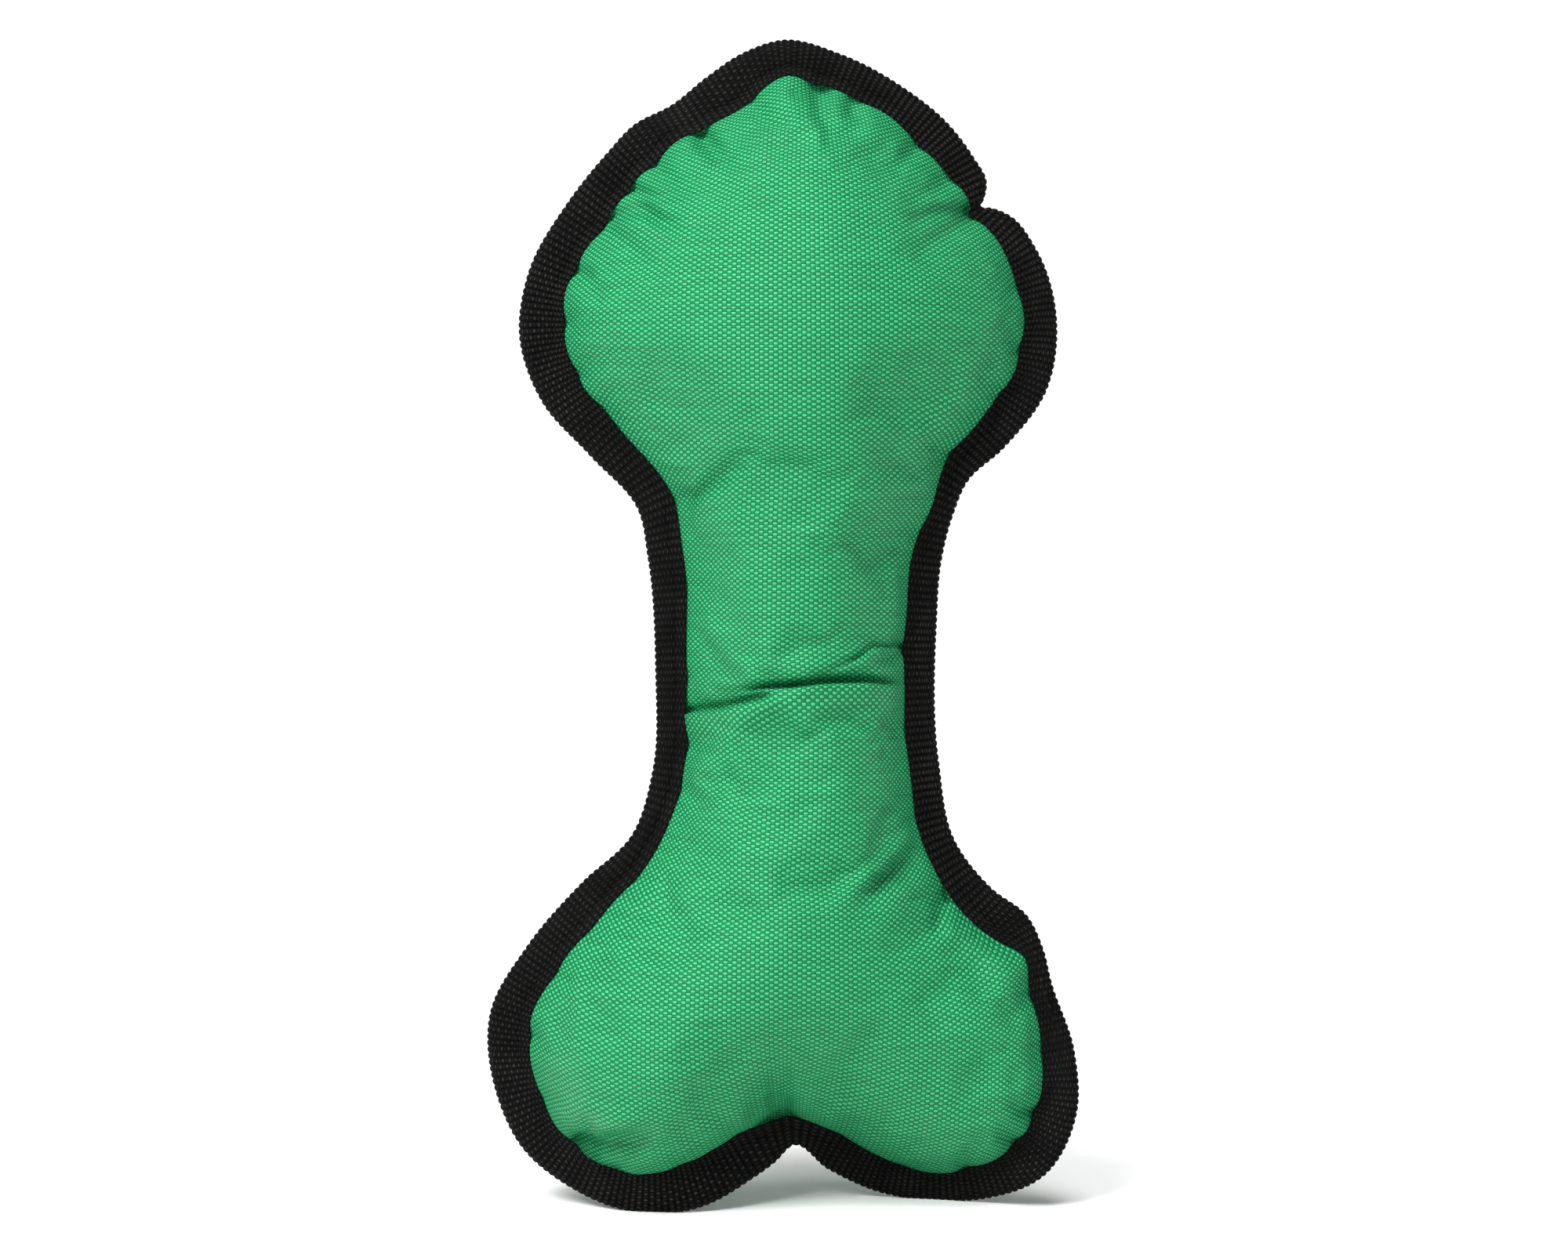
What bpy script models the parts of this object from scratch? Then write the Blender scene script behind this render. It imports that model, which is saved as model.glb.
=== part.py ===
"""Training bumper: a stuffed cloth bone with a folded webbing tape bound over its edge.

The bone stands upright on its two lower lobes. +Z is up, the front panel faces -Y, and the
origin is on the floor under the middle of the bone. Every layer is laid out from one seam
outline: a layer lies some way in from the outline, and some way in front of or behind the
middle plane.
"""

import math

import bmesh
import bpy
import numpy as np

MM = 0.001

# Driving dimensions, in millimetres.
# The seam outline: x, z and the width of the binding there, from the notch between the lower
# lobes, round the left side to the crown, and down the right side.
OUTLINE = (
    (2.8, 13.9, 7.4), (-8.3, 6.4, 11.5), (-20, -0.1, 11.5), (-34, -1.6, 9.8), (-48.2, 1.8, 9.4),
    (-62.9, 12.8, 10.7), (-70.2, 28.9, 10.5), (-70.6, 46.4, 10), (-61.8, 62.4, 9), (-48.2, 78.4, 8.6),
    (-36.1, 90.2, 6.8), (-31.3, 105.2, 7.4), (-30.5, 129.4, 7.4), (-32.3, 156.5, 8.6),
    (-36, 170.9, 9), (-46, 181, 9.8), (-57.7, 194.2, 10.6), (-62.8, 209.7, 10.8),
    (-60.7, 224.8, 10), (-51.2, 241.7, 10), (-36.6, 258.8, 10.3), (-22.2, 268, 9.2),
    (-9.3, 277.2, 9.8), (0.2, 280.2, 9), (13.9, 276.8, 8.7), (28.6, 269, 7.7), (41.1, 258.4, 8),
    (47.8, 250, 7), (46.7, 242.4, 5), (52.7, 239.5, 5.2), (60.4, 230.6, 7.5), (65.4, 213.8, 8),
    (63, 196.8, 9), (52.8, 183, 8.8), (43.2, 173.4, 6), (38.9, 161.4, 6.8), (36.9, 141.4, 7.5),
    (37.5, 107.3, 7.2), (41.4, 88.4, 7.4), (50.2, 77, 8.9), (59.8, 69.2, 8.8), (63.8, 56.3, 5.6),
    (70, 38.5, 7.8), (70.5, 23.1, 9.9), (62.8, 7.8, 10.3), (48.8, -0.1, 8.4), (36, -1.7, 7),
    (23, 0.8, 8.4), (11, 7.7, 8.4),
)
STATIONS = 96            # steps round the seam, half of them on each side of the bone
PANEL_STEPS = (0.05, 0.14, 0.28, 0.48, 0.74)   # shares of the way from the seam to the spine
SPINE_X = 1.4            # the bone's middle line
SPINE_KEYS = ((0.0, 36.0), (0.25, 52.0), (0.42, 92.0), (0.62, 166.0), (0.8, 202.0), (1.0, 234.0))
LOBE_HALF_THICKNESS = 31.0
DOME_POWER = 0.62        # how fast the cloth rises from the seam: 0.5 is a round edge
PANEL_THICKNESS = 0.5
PANEL_GAP = 0.3          # half the gap between the two panels in the seam, where it lies straight
TAPE_THICKNESS = 1.0
TAPE_CLEARANCE = 0.3     # between the cloth in the seam and the tape folded over it
RAW_EDGE_INSET = 2.7     # how far the cut edge of the cloth lies inside the fold of the tape
DOME_INSET = 0.5         # between the tape's inner edge and the foot of the stuffed dome
OVERLOCK_INSET = 1.75
OVERLOCK_RADIUS = 0.25
STITCH_INSET = 2.3       # the lockstitch row, measured from the tape's inner edge
THREAD_RADIUS = 0.3
TACK_INSET = 1.1         # the end tack's middle, in from the outline
TACK_REACH = 0.6
TACK_STEP = 0.12         # in steps round the seam
TACK_TURNS = 6
TACK_RADIUS = 0.22
TOUCH_GAP = 0.3
FOOT_SWAY = 11.0         # the left foot stands this far forward, the right one this far back
FOOT_WAVE = 52.0         # half the length of the wave that the bound edge makes on the floor
FOOT_HEIGHT = 52.0       # the sway dies out above this height
FOOT_PRESS = 0.15        # the outline is flat this far below the floor, and the tape is pressed to it
FILL_CUTS = (84.0, 190.0)
FILL_CLEARANCE = 1.4     # from the outside of the cloth to the fibre
BULB_RADIUS = 18.0
BULB_SQUASH = 0.8
BULB_WALL = 1.2
POCKET_CLEARANCE = 0.6
MOUTH_RADIUS = 4.5
WHISTLE_BORE = 2.4
WHISTLE_LENGTH = 9.0
WHISTLE_FLANGE = 6.5
REED_SIZE = (2.6, 0.4, 5.0)
TURN_STEPS = 24

FLANGE_FACE = PANEL_GAP + PANEL_THICKNESS
TAPE_INNER = FLANGE_FACE + TAPE_CLEARANCE
TAPE_OUTER = TAPE_INNER + TAPE_THICKNESS

GREEN_CLOTH = ("green_oxford_cloth", (0.055, 0.365, 0.16), 0.55)
BLACK_TAPE = ("black_webbing", (0.009, 0.009, 0.008), 0.8)
BLACK_THREAD = ("black_thread", (0.012, 0.012, 0.012), 0.6)
WHITE_FIBRE = ("white_fibrefill", (0.8, 0.8, 0.78), 0.95)
SOFT_VINYL = ("soft_vinyl", (0.75, 0.74, 0.7), 0.45)
HARD_PLASTIC = ("white_plastic", (0.8, 0.8, 0.8), 0.4)


def clear_scene():
    for item in list(bpy.data.objects):
        bpy.data.objects.remove(item, do_unlink=True)


def make_material(finish):
    name, colour, roughness = finish
    material = bpy.data.materials.get(name) or bpy.data.materials.new(name)
    material.use_nodes = True
    shader = material.node_tree.nodes["Principled BSDF"]
    shader.inputs["Base Color"].default_value = (*colour, 1.0)
    shader.inputs["Roughness"].default_value = roughness
    shader.inputs["Metallic"].default_value = 0.0
    return material


def add_object(name, data, finish):
    item = bpy.data.objects.new(name, data)
    bpy.context.scene.collection.objects.link(item)
    data.materials.append(make_material(finish))
    return item


def mesh_object(name, points, faces, finish):
    """A mesh from points in millimetres and faces as lists of point numbers."""
    mesh = bpy.data.meshes.new(name)
    mesh.from_pydata((np.asarray(points) * MM).tolist(), [], [list(map(int, f)) for f in faces])
    mesh.update()
    mesh.shade_smooth()
    mesh.set_sharp_from_angle(angle=math.radians(40))
    return add_object(name, mesh, finish)


# ---- the seam outline and the places measured from it ----

def closed_curve(keys, count):
    """A smooth closed curve through the keys, as count points at equal steps of its length."""
    keys = np.asarray(keys, float)
    after = np.roll(keys, -1, axis=0)
    span = np.linalg.norm((after - keys)[:, :2], axis=1)
    chord = (after - keys) / span[:, None]
    before = np.roll(span, 1)
    tangent = (chord * before[:, None] + np.roll(chord, 1, axis=0) * span[:, None])
    tangent /= (span + before)[:, None]
    t = np.linspace(0.0, 1.0, 24, endpoint=False)[None, :, None]
    step = span[:, None, None]
    start, end = keys[:, None], after[:, None]
    leave, arrive = tangent[:, None] * step, np.roll(tangent, -1, axis=0)[:, None] * step
    fine = (start * (2 * t**3 - 3 * t**2 + 1) + leave * (t**3 - 2 * t**2 + t)
            + end * (3 * t**2 - 2 * t**3) + arrive * (t**3 - t**2)).reshape(-1, 3)
    loop = np.vstack((fine, fine[:1]))
    length = np.r_[0.0, np.cumsum(np.linalg.norm(np.diff(loop[:, :2], axis=0), axis=1))]
    crown = length[np.argmax(loop[:, 1])]
    half = count // 2
    places = np.r_[np.linspace(0.0, crown, half, endpoint=False),
                   np.linspace(crown, length[-1], count - half, endpoint=False)]
    return np.stack([np.interp(places, length, loop[:, axis]) for axis in range(3)], axis=1)


def inward_directions(loop, passes):
    """Unit directions into the bone, from a smoothed copy of the loop so that they never cross."""
    for _ in range(passes):
        loop = (np.roll(loop, 1, axis=0) + 2.0 * loop + np.roll(loop, -1, axis=0)) / 4.0
    along = np.roll(loop, -1, axis=0) - np.roll(loop, 1, axis=0)
    along /= np.linalg.norm(along, axis=1)[:, None]
    return np.stack((along[:, 1], -along[:, 0]), axis=1)


OUTLINE_POINTS = closed_curve(OUTLINE, STATIONS)
SEAM = np.maximum(OUTLINE_POINTS[:, :2], (-np.inf, -FOOT_PRESS))
TAPE_WIDTH = OUTLINE_POINTS[:, 2]
INWARD = inward_directions(SEAM, passes=6)


def inset_ring(inset):
    """Points in the middle plane, a distance in from the seam outline."""
    return SEAM + INWARD * np.reshape(inset, (-1, 1))


DOME_FOOT = inset_ring(TAPE_WIDTH + DOME_INSET)


def spine_ring():
    """The spine point that each station looks at; both sides of the bone share them."""
    station = np.arange(STATIONS)
    share = np.minimum(station, STATIONS - station) / (STATIONS / 2)
    keys = np.asarray(SPINE_KEYS)
    return np.stack((np.full(STATIONS, SPINE_X), np.interp(share, keys[:, 0], keys[:, 1])), axis=1)


def seam_distance(points):
    """A smooth distance from the dome's foot.

    Each straight piece of the foot pulls with the inverse cube of its distance, summed along
    the piece. Beside one long straight edge the result is the plain distance, and in the
    middle of the bone the edges all around share in it.
    """
    start, end = DOME_FOOT[None], np.roll(DOME_FOOT, -1, axis=0)[None]
    place = np.asarray(points, float)[:, None]
    along = end - start
    along = along / np.linalg.norm(along, axis=2, keepdims=True)
    to_start, to_end = start - place, end - place
    first = np.sum(to_start * along, axis=2)
    last = np.sum(to_end * along, axis=2)
    across = np.maximum(np.sum(to_start**2, axis=2) - first**2, 1e-6)
    pull = (last / np.hypot(last, np.sqrt(across)) - first / np.hypot(first, np.sqrt(across)))
    return np.sqrt(2.0 / np.sum(pull / across, axis=1))


def lobe_reference():
    """The smooth distance at the fullest place of the lower lobes."""
    return seam_distance([[SPINE_X, 52.0]])[0]


DOME_SCALE = (LOBE_HALF_THICKNESS - FLANGE_FACE) / lobe_reference() ** DOME_POWER


def dome_height(points):
    return DOME_SCALE * seam_distance(points) ** DOME_POWER


def dome_slope(points):
    """The steepness of the dome, from heights a small step to each side."""
    points = np.asarray(points, float)
    step = 0.2
    rise_x = dome_height(points + (step, 0)) - dome_height(points - (step, 0))
    rise_z = dome_height(points + (0, step)) - dome_height(points - (0, step))
    return np.hypot(rise_x, rise_z) / (2 * step)


def sway(points):
    """How far the middle plane lies behind the middle: one foot forward, the other back."""
    x, z = points[:, 0], points[:, 1]
    return FOOT_SWAY * np.sin(math.pi * x / FOOT_WAVE) * np.exp(-(z / FOOT_HEIGHT)**2)


def in_space(ring, depth):
    """Ring points in the middle plane, moved back by depth and by the sway of the feet."""
    ring = np.asarray(ring, float)
    return np.stack((ring[:, 0], sway(ring) + depth, ring[:, 1]), axis=1)


# ---- surfaces made of rings ----

def ring_faces(first, second, turned):
    """Four-sided faces between two closed rings of point numbers."""
    after_first, after_second = np.roll(first, -1), np.roll(second, -1)
    faces = np.stack((first, after_first, after_second, second), axis=1)
    return faces[:, ::-1] if turned else faces


def spine_numbers(base):
    station = np.arange(STATIONS)
    return base + np.minimum(station, STATIONS - station)


def dome_rings():
    """The middle-plane rings of a stuffed side, from the foot of the dome to the spine."""
    spine = spine_ring()
    return [DOME_FOOT + (spine - DOME_FOOT) * share for share in PANEL_STEPS], spine


def shell_surface(rings, spine, turned):
    """Points and faces of one open surface that closes on the spine line."""
    half = STATIONS // 2 + 1
    points = np.vstack(rings + [spine[:half]])
    numbers = [np.arange(STATIONS) + STATIONS * index for index in range(len(rings))]
    numbers.append(spine_numbers(STATIONS * len(rings)))
    faces = [ring_faces(outer, inner, turned) for outer, inner in zip(numbers, numbers[1:])]
    return points, np.vstack(faces)


def make_panel(name, side):
    """One cloth panel: a flat seam allowance, and a dome. side is -1 in front and 1 behind."""
    steps, spine = dome_rings()
    rings = [in_space(inset_ring(RAW_EDGE_INSET), side * FLANGE_FACE),
             in_space(DOME_FOOT, side * FLANGE_FACE)]
    rings += [in_space(ring, side * (FLANGE_FACE + dome_height(ring))) for ring in steps]
    ridge = in_space(spine, side * (FLANGE_FACE + dome_height(spine)))
    points, faces = shell_surface(rings, ridge, turned=side < 0)
    panel = mesh_object(name, points, faces, GREEN_CLOTH)
    solidify = panel.modifiers.new("cloth_thickness", "SOLIDIFY")
    solidify.thickness = PANEL_THICKNESS * MM
    solidify.offset = -1.0
    solidify.use_even_offset = True
    return panel


def tape_profile():
    """The folded tape's section: distance in from the outline as a constant and as a share of
    the tape's width, and depth."""
    outer_turns = [math.radians(a) for a in (-90, -58, -20, 20, 58, 90)]
    inner_turns = [math.radians(a) for a in (90, 35, -35, -90)]
    profile = [(0.0, 1.0, -TAPE_OUTER)]
    profile += [(TAPE_OUTER * (1 - math.cos(a)), 0.0, TAPE_OUTER * math.sin(a)) for a in outer_turns]
    profile += [(0.0, 1.0, TAPE_OUTER), (0.0, 1.0, TAPE_INNER)]
    profile += [(TAPE_OUTER - TAPE_INNER * math.cos(a), 0.0, TAPE_INNER * math.sin(a))
                for a in inner_turns]
    profile += [(0.0, 1.0, -TAPE_INNER)]
    return profile


def make_binding():
    """The tape, carried round the outline and pressed flat where the feet stand."""
    rings = []
    for inset, share, depth in tape_profile():
        ring = in_space(inset_ring(inset + share * TAPE_WIDTH), depth)
        ring[:, 2] = np.maximum(ring[:, 2], 0.0)
        rings.append(ring)
    count = len(rings)
    numbers = [np.arange(STATIONS) + STATIONS * index for index in range(count)]
    faces = [ring_faces(numbers[i], numbers[(i + 1) % count], turned=False) for i in range(count)]
    return mesh_object("edge_binding", np.vstack(rings), np.vstack(faces), BLACK_TAPE)


def make_thread(name, ring, radius, closed=True):
    """A thread as a thin round curve along a ring of points."""
    curve = bpy.data.curves.new(name, "CURVE")
    curve.dimensions = "3D"
    curve.bevel_depth = radius * MM
    curve.bevel_resolution = 1
    curve.use_fill_caps = not closed
    spline = curve.splines.new("POLY")
    spline.points.add(len(ring) - 1)
    spline.points.foreach_set("co", np.c_[ring * MM, np.ones(len(ring))].ravel())
    spline.use_cyclic_u = closed
    return add_object(name, curve, BLACK_THREAD)


def make_stitch_row(name, side):
    """The lockstitch row beside the tape's inner edge."""
    depth = side * (TAPE_OUTER + TOUCH_GAP + THREAD_RADIUS)
    return make_thread(name, in_space(inset_ring(TAPE_WIDTH - STITCH_INSET), depth), THREAD_RADIUS)


def place_on_seam(station, inset):
    """The middle-plane point at a fractional station, a distance in from the outline."""
    first = int(math.floor(station))
    share = station - first
    first, second = first % STATIONS, (first + 1) % STATIONS
    edge = SEAM[first] * (1 - share) + SEAM[second] * share
    return edge + (INWARD[first] * (1 - share) + INWARD[second] * share) * inset


def make_end_tack():
    """Back-and-forth stitches across the tape where its two ends meet, at the pinch."""
    pinch = int(np.argmin(TAPE_WIDTH[STATIONS // 2:])) + STATIONS // 2
    zigzag = [place_on_seam(pinch + TACK_STEP * turn, TACK_INSET + TACK_REACH * (-1)**turn)
              for turn in range(TACK_TURNS)]
    depth = -(TAPE_OUTER + TOUCH_GAP + THREAD_RADIUS)
    return make_thread("binding_end_tack", in_space(zigzag, depth), TACK_RADIUS, closed=False)


# ---- the filling ----

def fill_mesh():
    """One closed mass of fibre that follows the inside of both panels."""
    steps, spine = dome_rings()

    def half_thickness(ring):
        room = dome_height(ring) + FLANGE_FACE - FILL_CLEARANCE * np.hypot(1.0, dome_slope(ring))
        return np.maximum(room, 0.4)

    points, faces = [], []
    base = 0
    for side in (-1, 1):
        rings = [in_space(ring, side * half_thickness(ring)) for ring in steps]
        ridge = in_space(spine, side * half_thickness(spine))
        side_points, side_faces = shell_surface(rings, ridge, turned=side < 0)
        points.append(side_points)
        faces.append(side_faces + base)
        base += len(side_points)
    front_rim = np.arange(STATIONS)
    back_rim = front_rim + len(points[0])
    faces.append(ring_faces(front_rim, back_rim, turned=False))
    return np.vstack(points), np.vstack(faces)


def add_cutter(name, build, centre, size):
    """A hidden tool body that a Boolean works with."""
    mesh = bpy.data.meshes.new(name)
    shape = bmesh.new()
    build(shape)
    bmesh.ops.scale(shape, vec=[s * MM for s in size], verts=shape.verts)
    bmesh.ops.translate(shape, vec=[c * MM for c in centre], verts=shape.verts)
    shape.to_mesh(mesh)
    shape.free()
    cutter = bpy.data.objects.new(name, mesh)
    bpy.context.scene.collection.objects.link(cutter)
    cutter.hide_render = True
    cutter.display_type = "WIRE"
    return cutter


def add_boolean(item, cutter, operation):
    cut = item.modifiers.new(cutter.name, "BOOLEAN")
    cut.object = cutter
    cut.operation = operation
    cut.solver = "EXACT"


def make_fill():
    """The three handfuls of fibre, with the squeaker's pocket between the upper two."""
    points, faces = fill_mesh()
    pocket_radius = BULB_RADIUS + POCKET_CLEARANCE
    pocket_height = BULB_RADIUS * BULB_SQUASH + WHISTLE_LENGTH * 0.6
    pocket = add_cutter(
        "pocket_cutter",
        lambda shape: bmesh.ops.create_cone(shape, cap_ends=True, segments=TURN_STEPS,
                                            radius1=1.0, radius2=1.0, depth=2.0),
        (SPINE_X, 0.0, FILL_CUTS[1]), (pocket_radius, pocket_radius, pocket_height))
    low, high = -20.0, 300.0
    edges = (low, *FILL_CUTS, high)
    for name, floor, top in zip(("fill_lower", "fill_shank", "fill_upper"), edges, edges[1:]):
        item = mesh_object(name, points, faces, WHITE_FIBRE)
        floor, top = floor + TOUCH_GAP / 2, top - TOUCH_GAP / 2
        slab = add_cutter(
            name + "_slab", lambda shape: bmesh.ops.create_cube(shape, size=1.0),
            (0.0, 0.0, (floor + top) / 2), (200.0, 120.0, top - floor))
        add_boolean(item, slab, "INTERSECT")
        if name != "fill_lower":
            add_boolean(item, pocket, "DIFFERENCE")


# ---- the squeaker ----

def turned_object(name, profile, centre, finish):
    """A solid of revolution about an upright axis, from radius and height pairs in order.

    A profile that starts on the axis also ends there, and is left open between its two ends.
    """
    shape = bmesh.new()
    ring = [shape.verts.new((radius * MM, 0.0, height * MM)) for radius, height in profile]
    closing = [] if profile[0][0] == 0.0 else [ring[0]]
    edges = [shape.edges.new((a, b)) for a, b in zip(ring, ring[1:] + closing)]
    bmesh.ops.spin(shape, geom=ring + edges, cent=(0, 0, 0), axis=(0, 0, 1),
                   angle=2 * math.pi, steps=TURN_STEPS, use_merge=True)
    bmesh.ops.remove_doubles(shape, verts=shape.verts, dist=0.00001)
    bmesh.ops.recalc_face_normals(shape, faces=shape.faces)
    bmesh.ops.translate(shape, vec=[c * MM for c in centre], verts=shape.verts)
    mesh = bpy.data.meshes.new(name)
    shape.to_mesh(mesh)
    shape.free()
    mesh.shade_smooth()
    mesh.set_sharp_from_angle(angle=math.radians(40))
    return add_object(name, mesh, finish)


def bulb_wall(radius, mouth):
    """An arc from the bottom pole, on the axis, up to the mouth."""
    angles = np.linspace(-math.pi / 2, math.acos(mouth / radius), 11)[1:]
    arc = [(radius * math.cos(a), radius * BULB_SQUASH * math.sin(a)) for a in angles]
    return [(0.0, -radius * BULB_SQUASH)] + arc


def make_squeaker():
    """The bulb, the whistle plug in its mouth, and the reed inside the plug."""
    centre = (SPINE_X, 0.0, FILL_CUTS[1])
    outer = bulb_wall(BULB_RADIUS, MOUTH_RADIUS)
    inner = bulb_wall(BULB_RADIUS - BULB_WALL, MOUTH_RADIUS)
    turned_object("squeaker_bulb", outer + inner[::-1], centre, SOFT_VINYL)
    rim = outer[-1][1]
    neck = MOUTH_RADIUS - TOUCH_GAP
    flange_floor = rim + TOUCH_GAP
    plug = [(neck, rim - WHISTLE_LENGTH * 0.7), (neck, flange_floor), (WHISTLE_FLANGE, flange_floor),
            (WHISTLE_FLANGE, flange_floor + 1.2), (WHISTLE_BORE, flange_floor + 1.2),
            (WHISTLE_BORE, rim - WHISTLE_LENGTH * 0.7)]
    turned_object("squeaker_whistle", plug, centre, HARD_PLASTIC)
    mesh = bpy.data.meshes.new("squeaker_reed")
    shape = bmesh.new()
    bmesh.ops.create_cube(shape, size=1.0)
    bmesh.ops.scale(shape, vec=[s * MM for s in REED_SIZE], verts=shape.verts)
    shape.to_mesh(mesh)
    shape.free()
    reed = add_object("squeaker_reed", mesh, HARD_PLASTIC)
    reed.location = (SPINE_X * MM, 0.0, (FILL_CUTS[1] + rim - WHISTLE_LENGTH * 0.2) * MM)


def main():
    clear_scene()
    make_panel("front_panel", -1)
    make_panel("back_panel", 1)
    make_binding()
    make_thread("overlock_thread", in_space(inset_ring(OVERLOCK_INSET), 0.0), OVERLOCK_RADIUS)
    make_stitch_row("needle_thread", -1)
    make_stitch_row("bobbin_thread", 1)
    make_end_tack()
    make_fill()
    make_squeaker()


main()
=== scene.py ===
"""Looks of the training bumper: a stuffed cloth bone with a folded webbing tape round its edge.

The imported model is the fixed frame. Every visible cloth, tape and thread is a surface worked out
here from one seam outline, in millimetres, and is put into a mesh in metres. The bone stands on its
two lower lobes, the front panel faces -Y, and +Z is up.
"""

import logging
import math
from dataclasses import dataclass, replace
from enum import Enum

import bmesh
import bpy
import numpy as np
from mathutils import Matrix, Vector


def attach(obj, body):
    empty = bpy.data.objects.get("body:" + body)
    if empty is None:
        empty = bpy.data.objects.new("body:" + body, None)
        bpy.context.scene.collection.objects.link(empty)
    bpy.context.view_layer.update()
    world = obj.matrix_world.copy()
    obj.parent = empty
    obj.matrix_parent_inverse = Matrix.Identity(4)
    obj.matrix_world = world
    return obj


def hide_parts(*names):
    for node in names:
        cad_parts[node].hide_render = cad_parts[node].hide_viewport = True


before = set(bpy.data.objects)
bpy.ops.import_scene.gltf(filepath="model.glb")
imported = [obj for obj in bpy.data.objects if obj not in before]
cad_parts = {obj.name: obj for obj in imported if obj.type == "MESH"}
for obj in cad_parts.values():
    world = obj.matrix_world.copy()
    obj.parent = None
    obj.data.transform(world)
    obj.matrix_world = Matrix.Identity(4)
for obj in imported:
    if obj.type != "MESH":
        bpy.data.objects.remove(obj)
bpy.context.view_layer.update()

MM = 0.001
TINY = 1e-7                       # keeps a division from meeting nought
BODY = "root"
LOG = logging.getLogger("bumper")
Array = np.ndarray
Row = tuple[float, ...]
NewMaterial = tuple[bpy.types.Material, bpy.types.NodeTree, bpy.types.Node]


class Side(Enum):
    """Which side of the middle plane a layer lies on; the value is the sign of its depth."""

    FRONT = -1
    BACK = 1


# ---- small helpers: colours, nodes and meshes ----

def linear(code: str) -> tuple[float, float, float, float]:
    """Turn an sRGB hex colour into a linear colour.

    Args:
        code: the colour as six hex digits after a hash.

    Returns:
        Red, green, blue and an alpha of one.
    """
    parts = [int(code[place:place + 2], 16) / 255 for place in (1, 3, 5)]
    red, green, blue = [p / 12.92 if p <= 0.04045 else ((p + 0.055) / 1.055) ** 2.4 for p in parts]
    return red, green, blue, 1.0


def link_into(node: bpy.types.Node, links: dict) -> None:
    """Link sources into a node's inputs, by name or number; a node stands for its first output.

    Args:
        node: the node that is fed.
        links: input name or number to its source.
    """
    for key, source in links.items():
        socket = source.outputs[0] if isinstance(source, bpy.types.Node) else source
        node.id_data.links.new(socket, node.inputs[key])


def add_node(tree: bpy.types.NodeTree, kind: str, links: dict | None = None,
             **values) -> bpy.types.Node:
    """Add one node with its settings, its socket values and the links into it.

    Args:
        tree: the material's node tree.
        kind: the node's type name, without the leading "ShaderNode".
        links: input socket name or number to the node or output socket that feeds it.
        **values: settings by name, socket values under "inputs" as a dict, and a colour ramp's
            places and colours under "stops".

    Returns:
        The new node.
    """
    node = tree.nodes.new("ShaderNode" + kind)
    sockets, stops = values.pop("inputs", {}), values.pop("stops", ())
    for name, value in values.items():
        setattr(node, name, value)
    for key, value in sockets.items():
        node.inputs[key].default_value = value
    if stops:
        elements = node.color_ramp.elements
        elements.remove(elements[-1])
        elements[0].position, elements[0].color = stops[0]
        for place, colour in stops[1:]:
            elements.new(place).color = colour
    link_into(node, links or {})
    return node


def new_material(name: str, sockets: dict) -> NewMaterial:
    """Start a node material.

    Args:
        name: the material's name.
        sockets: values that are the same all over, by the name of the shader's own input.

    Returns:
        The material, its tree and its Principled shader.
    """
    material = bpy.data.materials.new(name)
    material.use_nodes = True
    shader = material.node_tree.nodes["Principled BSDF"]
    for key, value in sockets.items():
        shader.inputs[key].default_value = value
    return material, material.node_tree, shader


def grey(level: float) -> tuple[float, float, float, float]:
    """A grey as a linear colour."""
    return level, level, level, 1.0


def add_object(name: str, data: bpy.types.ID) -> bpy.types.Object:
    """Put data into the scene as an object at the origin.

    Args:
        name: the object's name.
        data: its mesh, camera or light.

    Returns:
        The object.
    """
    item = bpy.data.objects.new(name, data)
    bpy.context.scene.collection.objects.link(item)
    return item


def mesh_piece(name: str, points: Array, faces: Array, uv: Array | None = None) -> bpy.types.Object:
    """Make a smooth-shaded mesh object from arrays.

    Args:
        name: the piece's name.
        points: places in millimetres, one row each.
        faces: point numbers, four to a row.
        uv: the cloth's own flat coordinates in metres, one row per point.

    Returns:
        The object, at the origin.
    """
    mesh = bpy.data.meshes.new(name)
    mesh.vertices.add(len(points))
    mesh.vertices.foreach_set("co", (points * MM).ravel())
    mesh.loops.add(faces.size)
    mesh.loops.foreach_set("vertex_index", faces.ravel())
    mesh.polygons.add(len(faces))
    mesh.polygons.foreach_set("loop_start", np.arange(len(faces)) * faces.shape[1])
    mesh.polygons.foreach_set("use_smooth", np.ones(len(faces), bool))
    if uv is not None:
        layer = mesh.uv_layers.new(name="flat_cloth")
        layer.uv.foreach_set("vector", uv[faces.ravel()].ravel())
    mesh.update(calc_edges=True)
    mesh.validate()
    return add_object(name, mesh)


def read_rows(items: bpy.types.bpy_prop_collection, name: str) -> Array:
    """A property with three parts, read from every item: one row each.

    Args:
        items: a mesh's vertices or the like.
        name: the property.

    Returns:
        The rows.
    """
    rows = np.empty(len(items) * 3)
    items.foreach_get(name, rows)
    return rows.reshape(-1, 3)


def ring_faces(first: Array, second: Array) -> Array:
    """Four-sided faces between two closed rings of point numbers."""
    return np.stack((first, np.roll(first, -1), np.roll(second, -1), second), axis=1)


def tube_faces(rows: int, columns: int) -> Array:
    """Faces of a grid of points that closes both ways, point number row * columns + column.

    Args:
        rows: circles along the tube.
        columns: points in a circle.

    Returns:
        Point numbers, four to a row.
    """
    row, column = np.meshgrid(np.arange(rows), np.arange(columns), indexing="ij")
    next_row, next_column = (row + 1) % rows, (column + 1) % columns
    corners = (row * columns + column, next_row * columns + column,
               next_row * columns + next_column, row * columns + next_column)
    return np.stack([corner.ravel() for corner in corners], axis=1)


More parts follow.
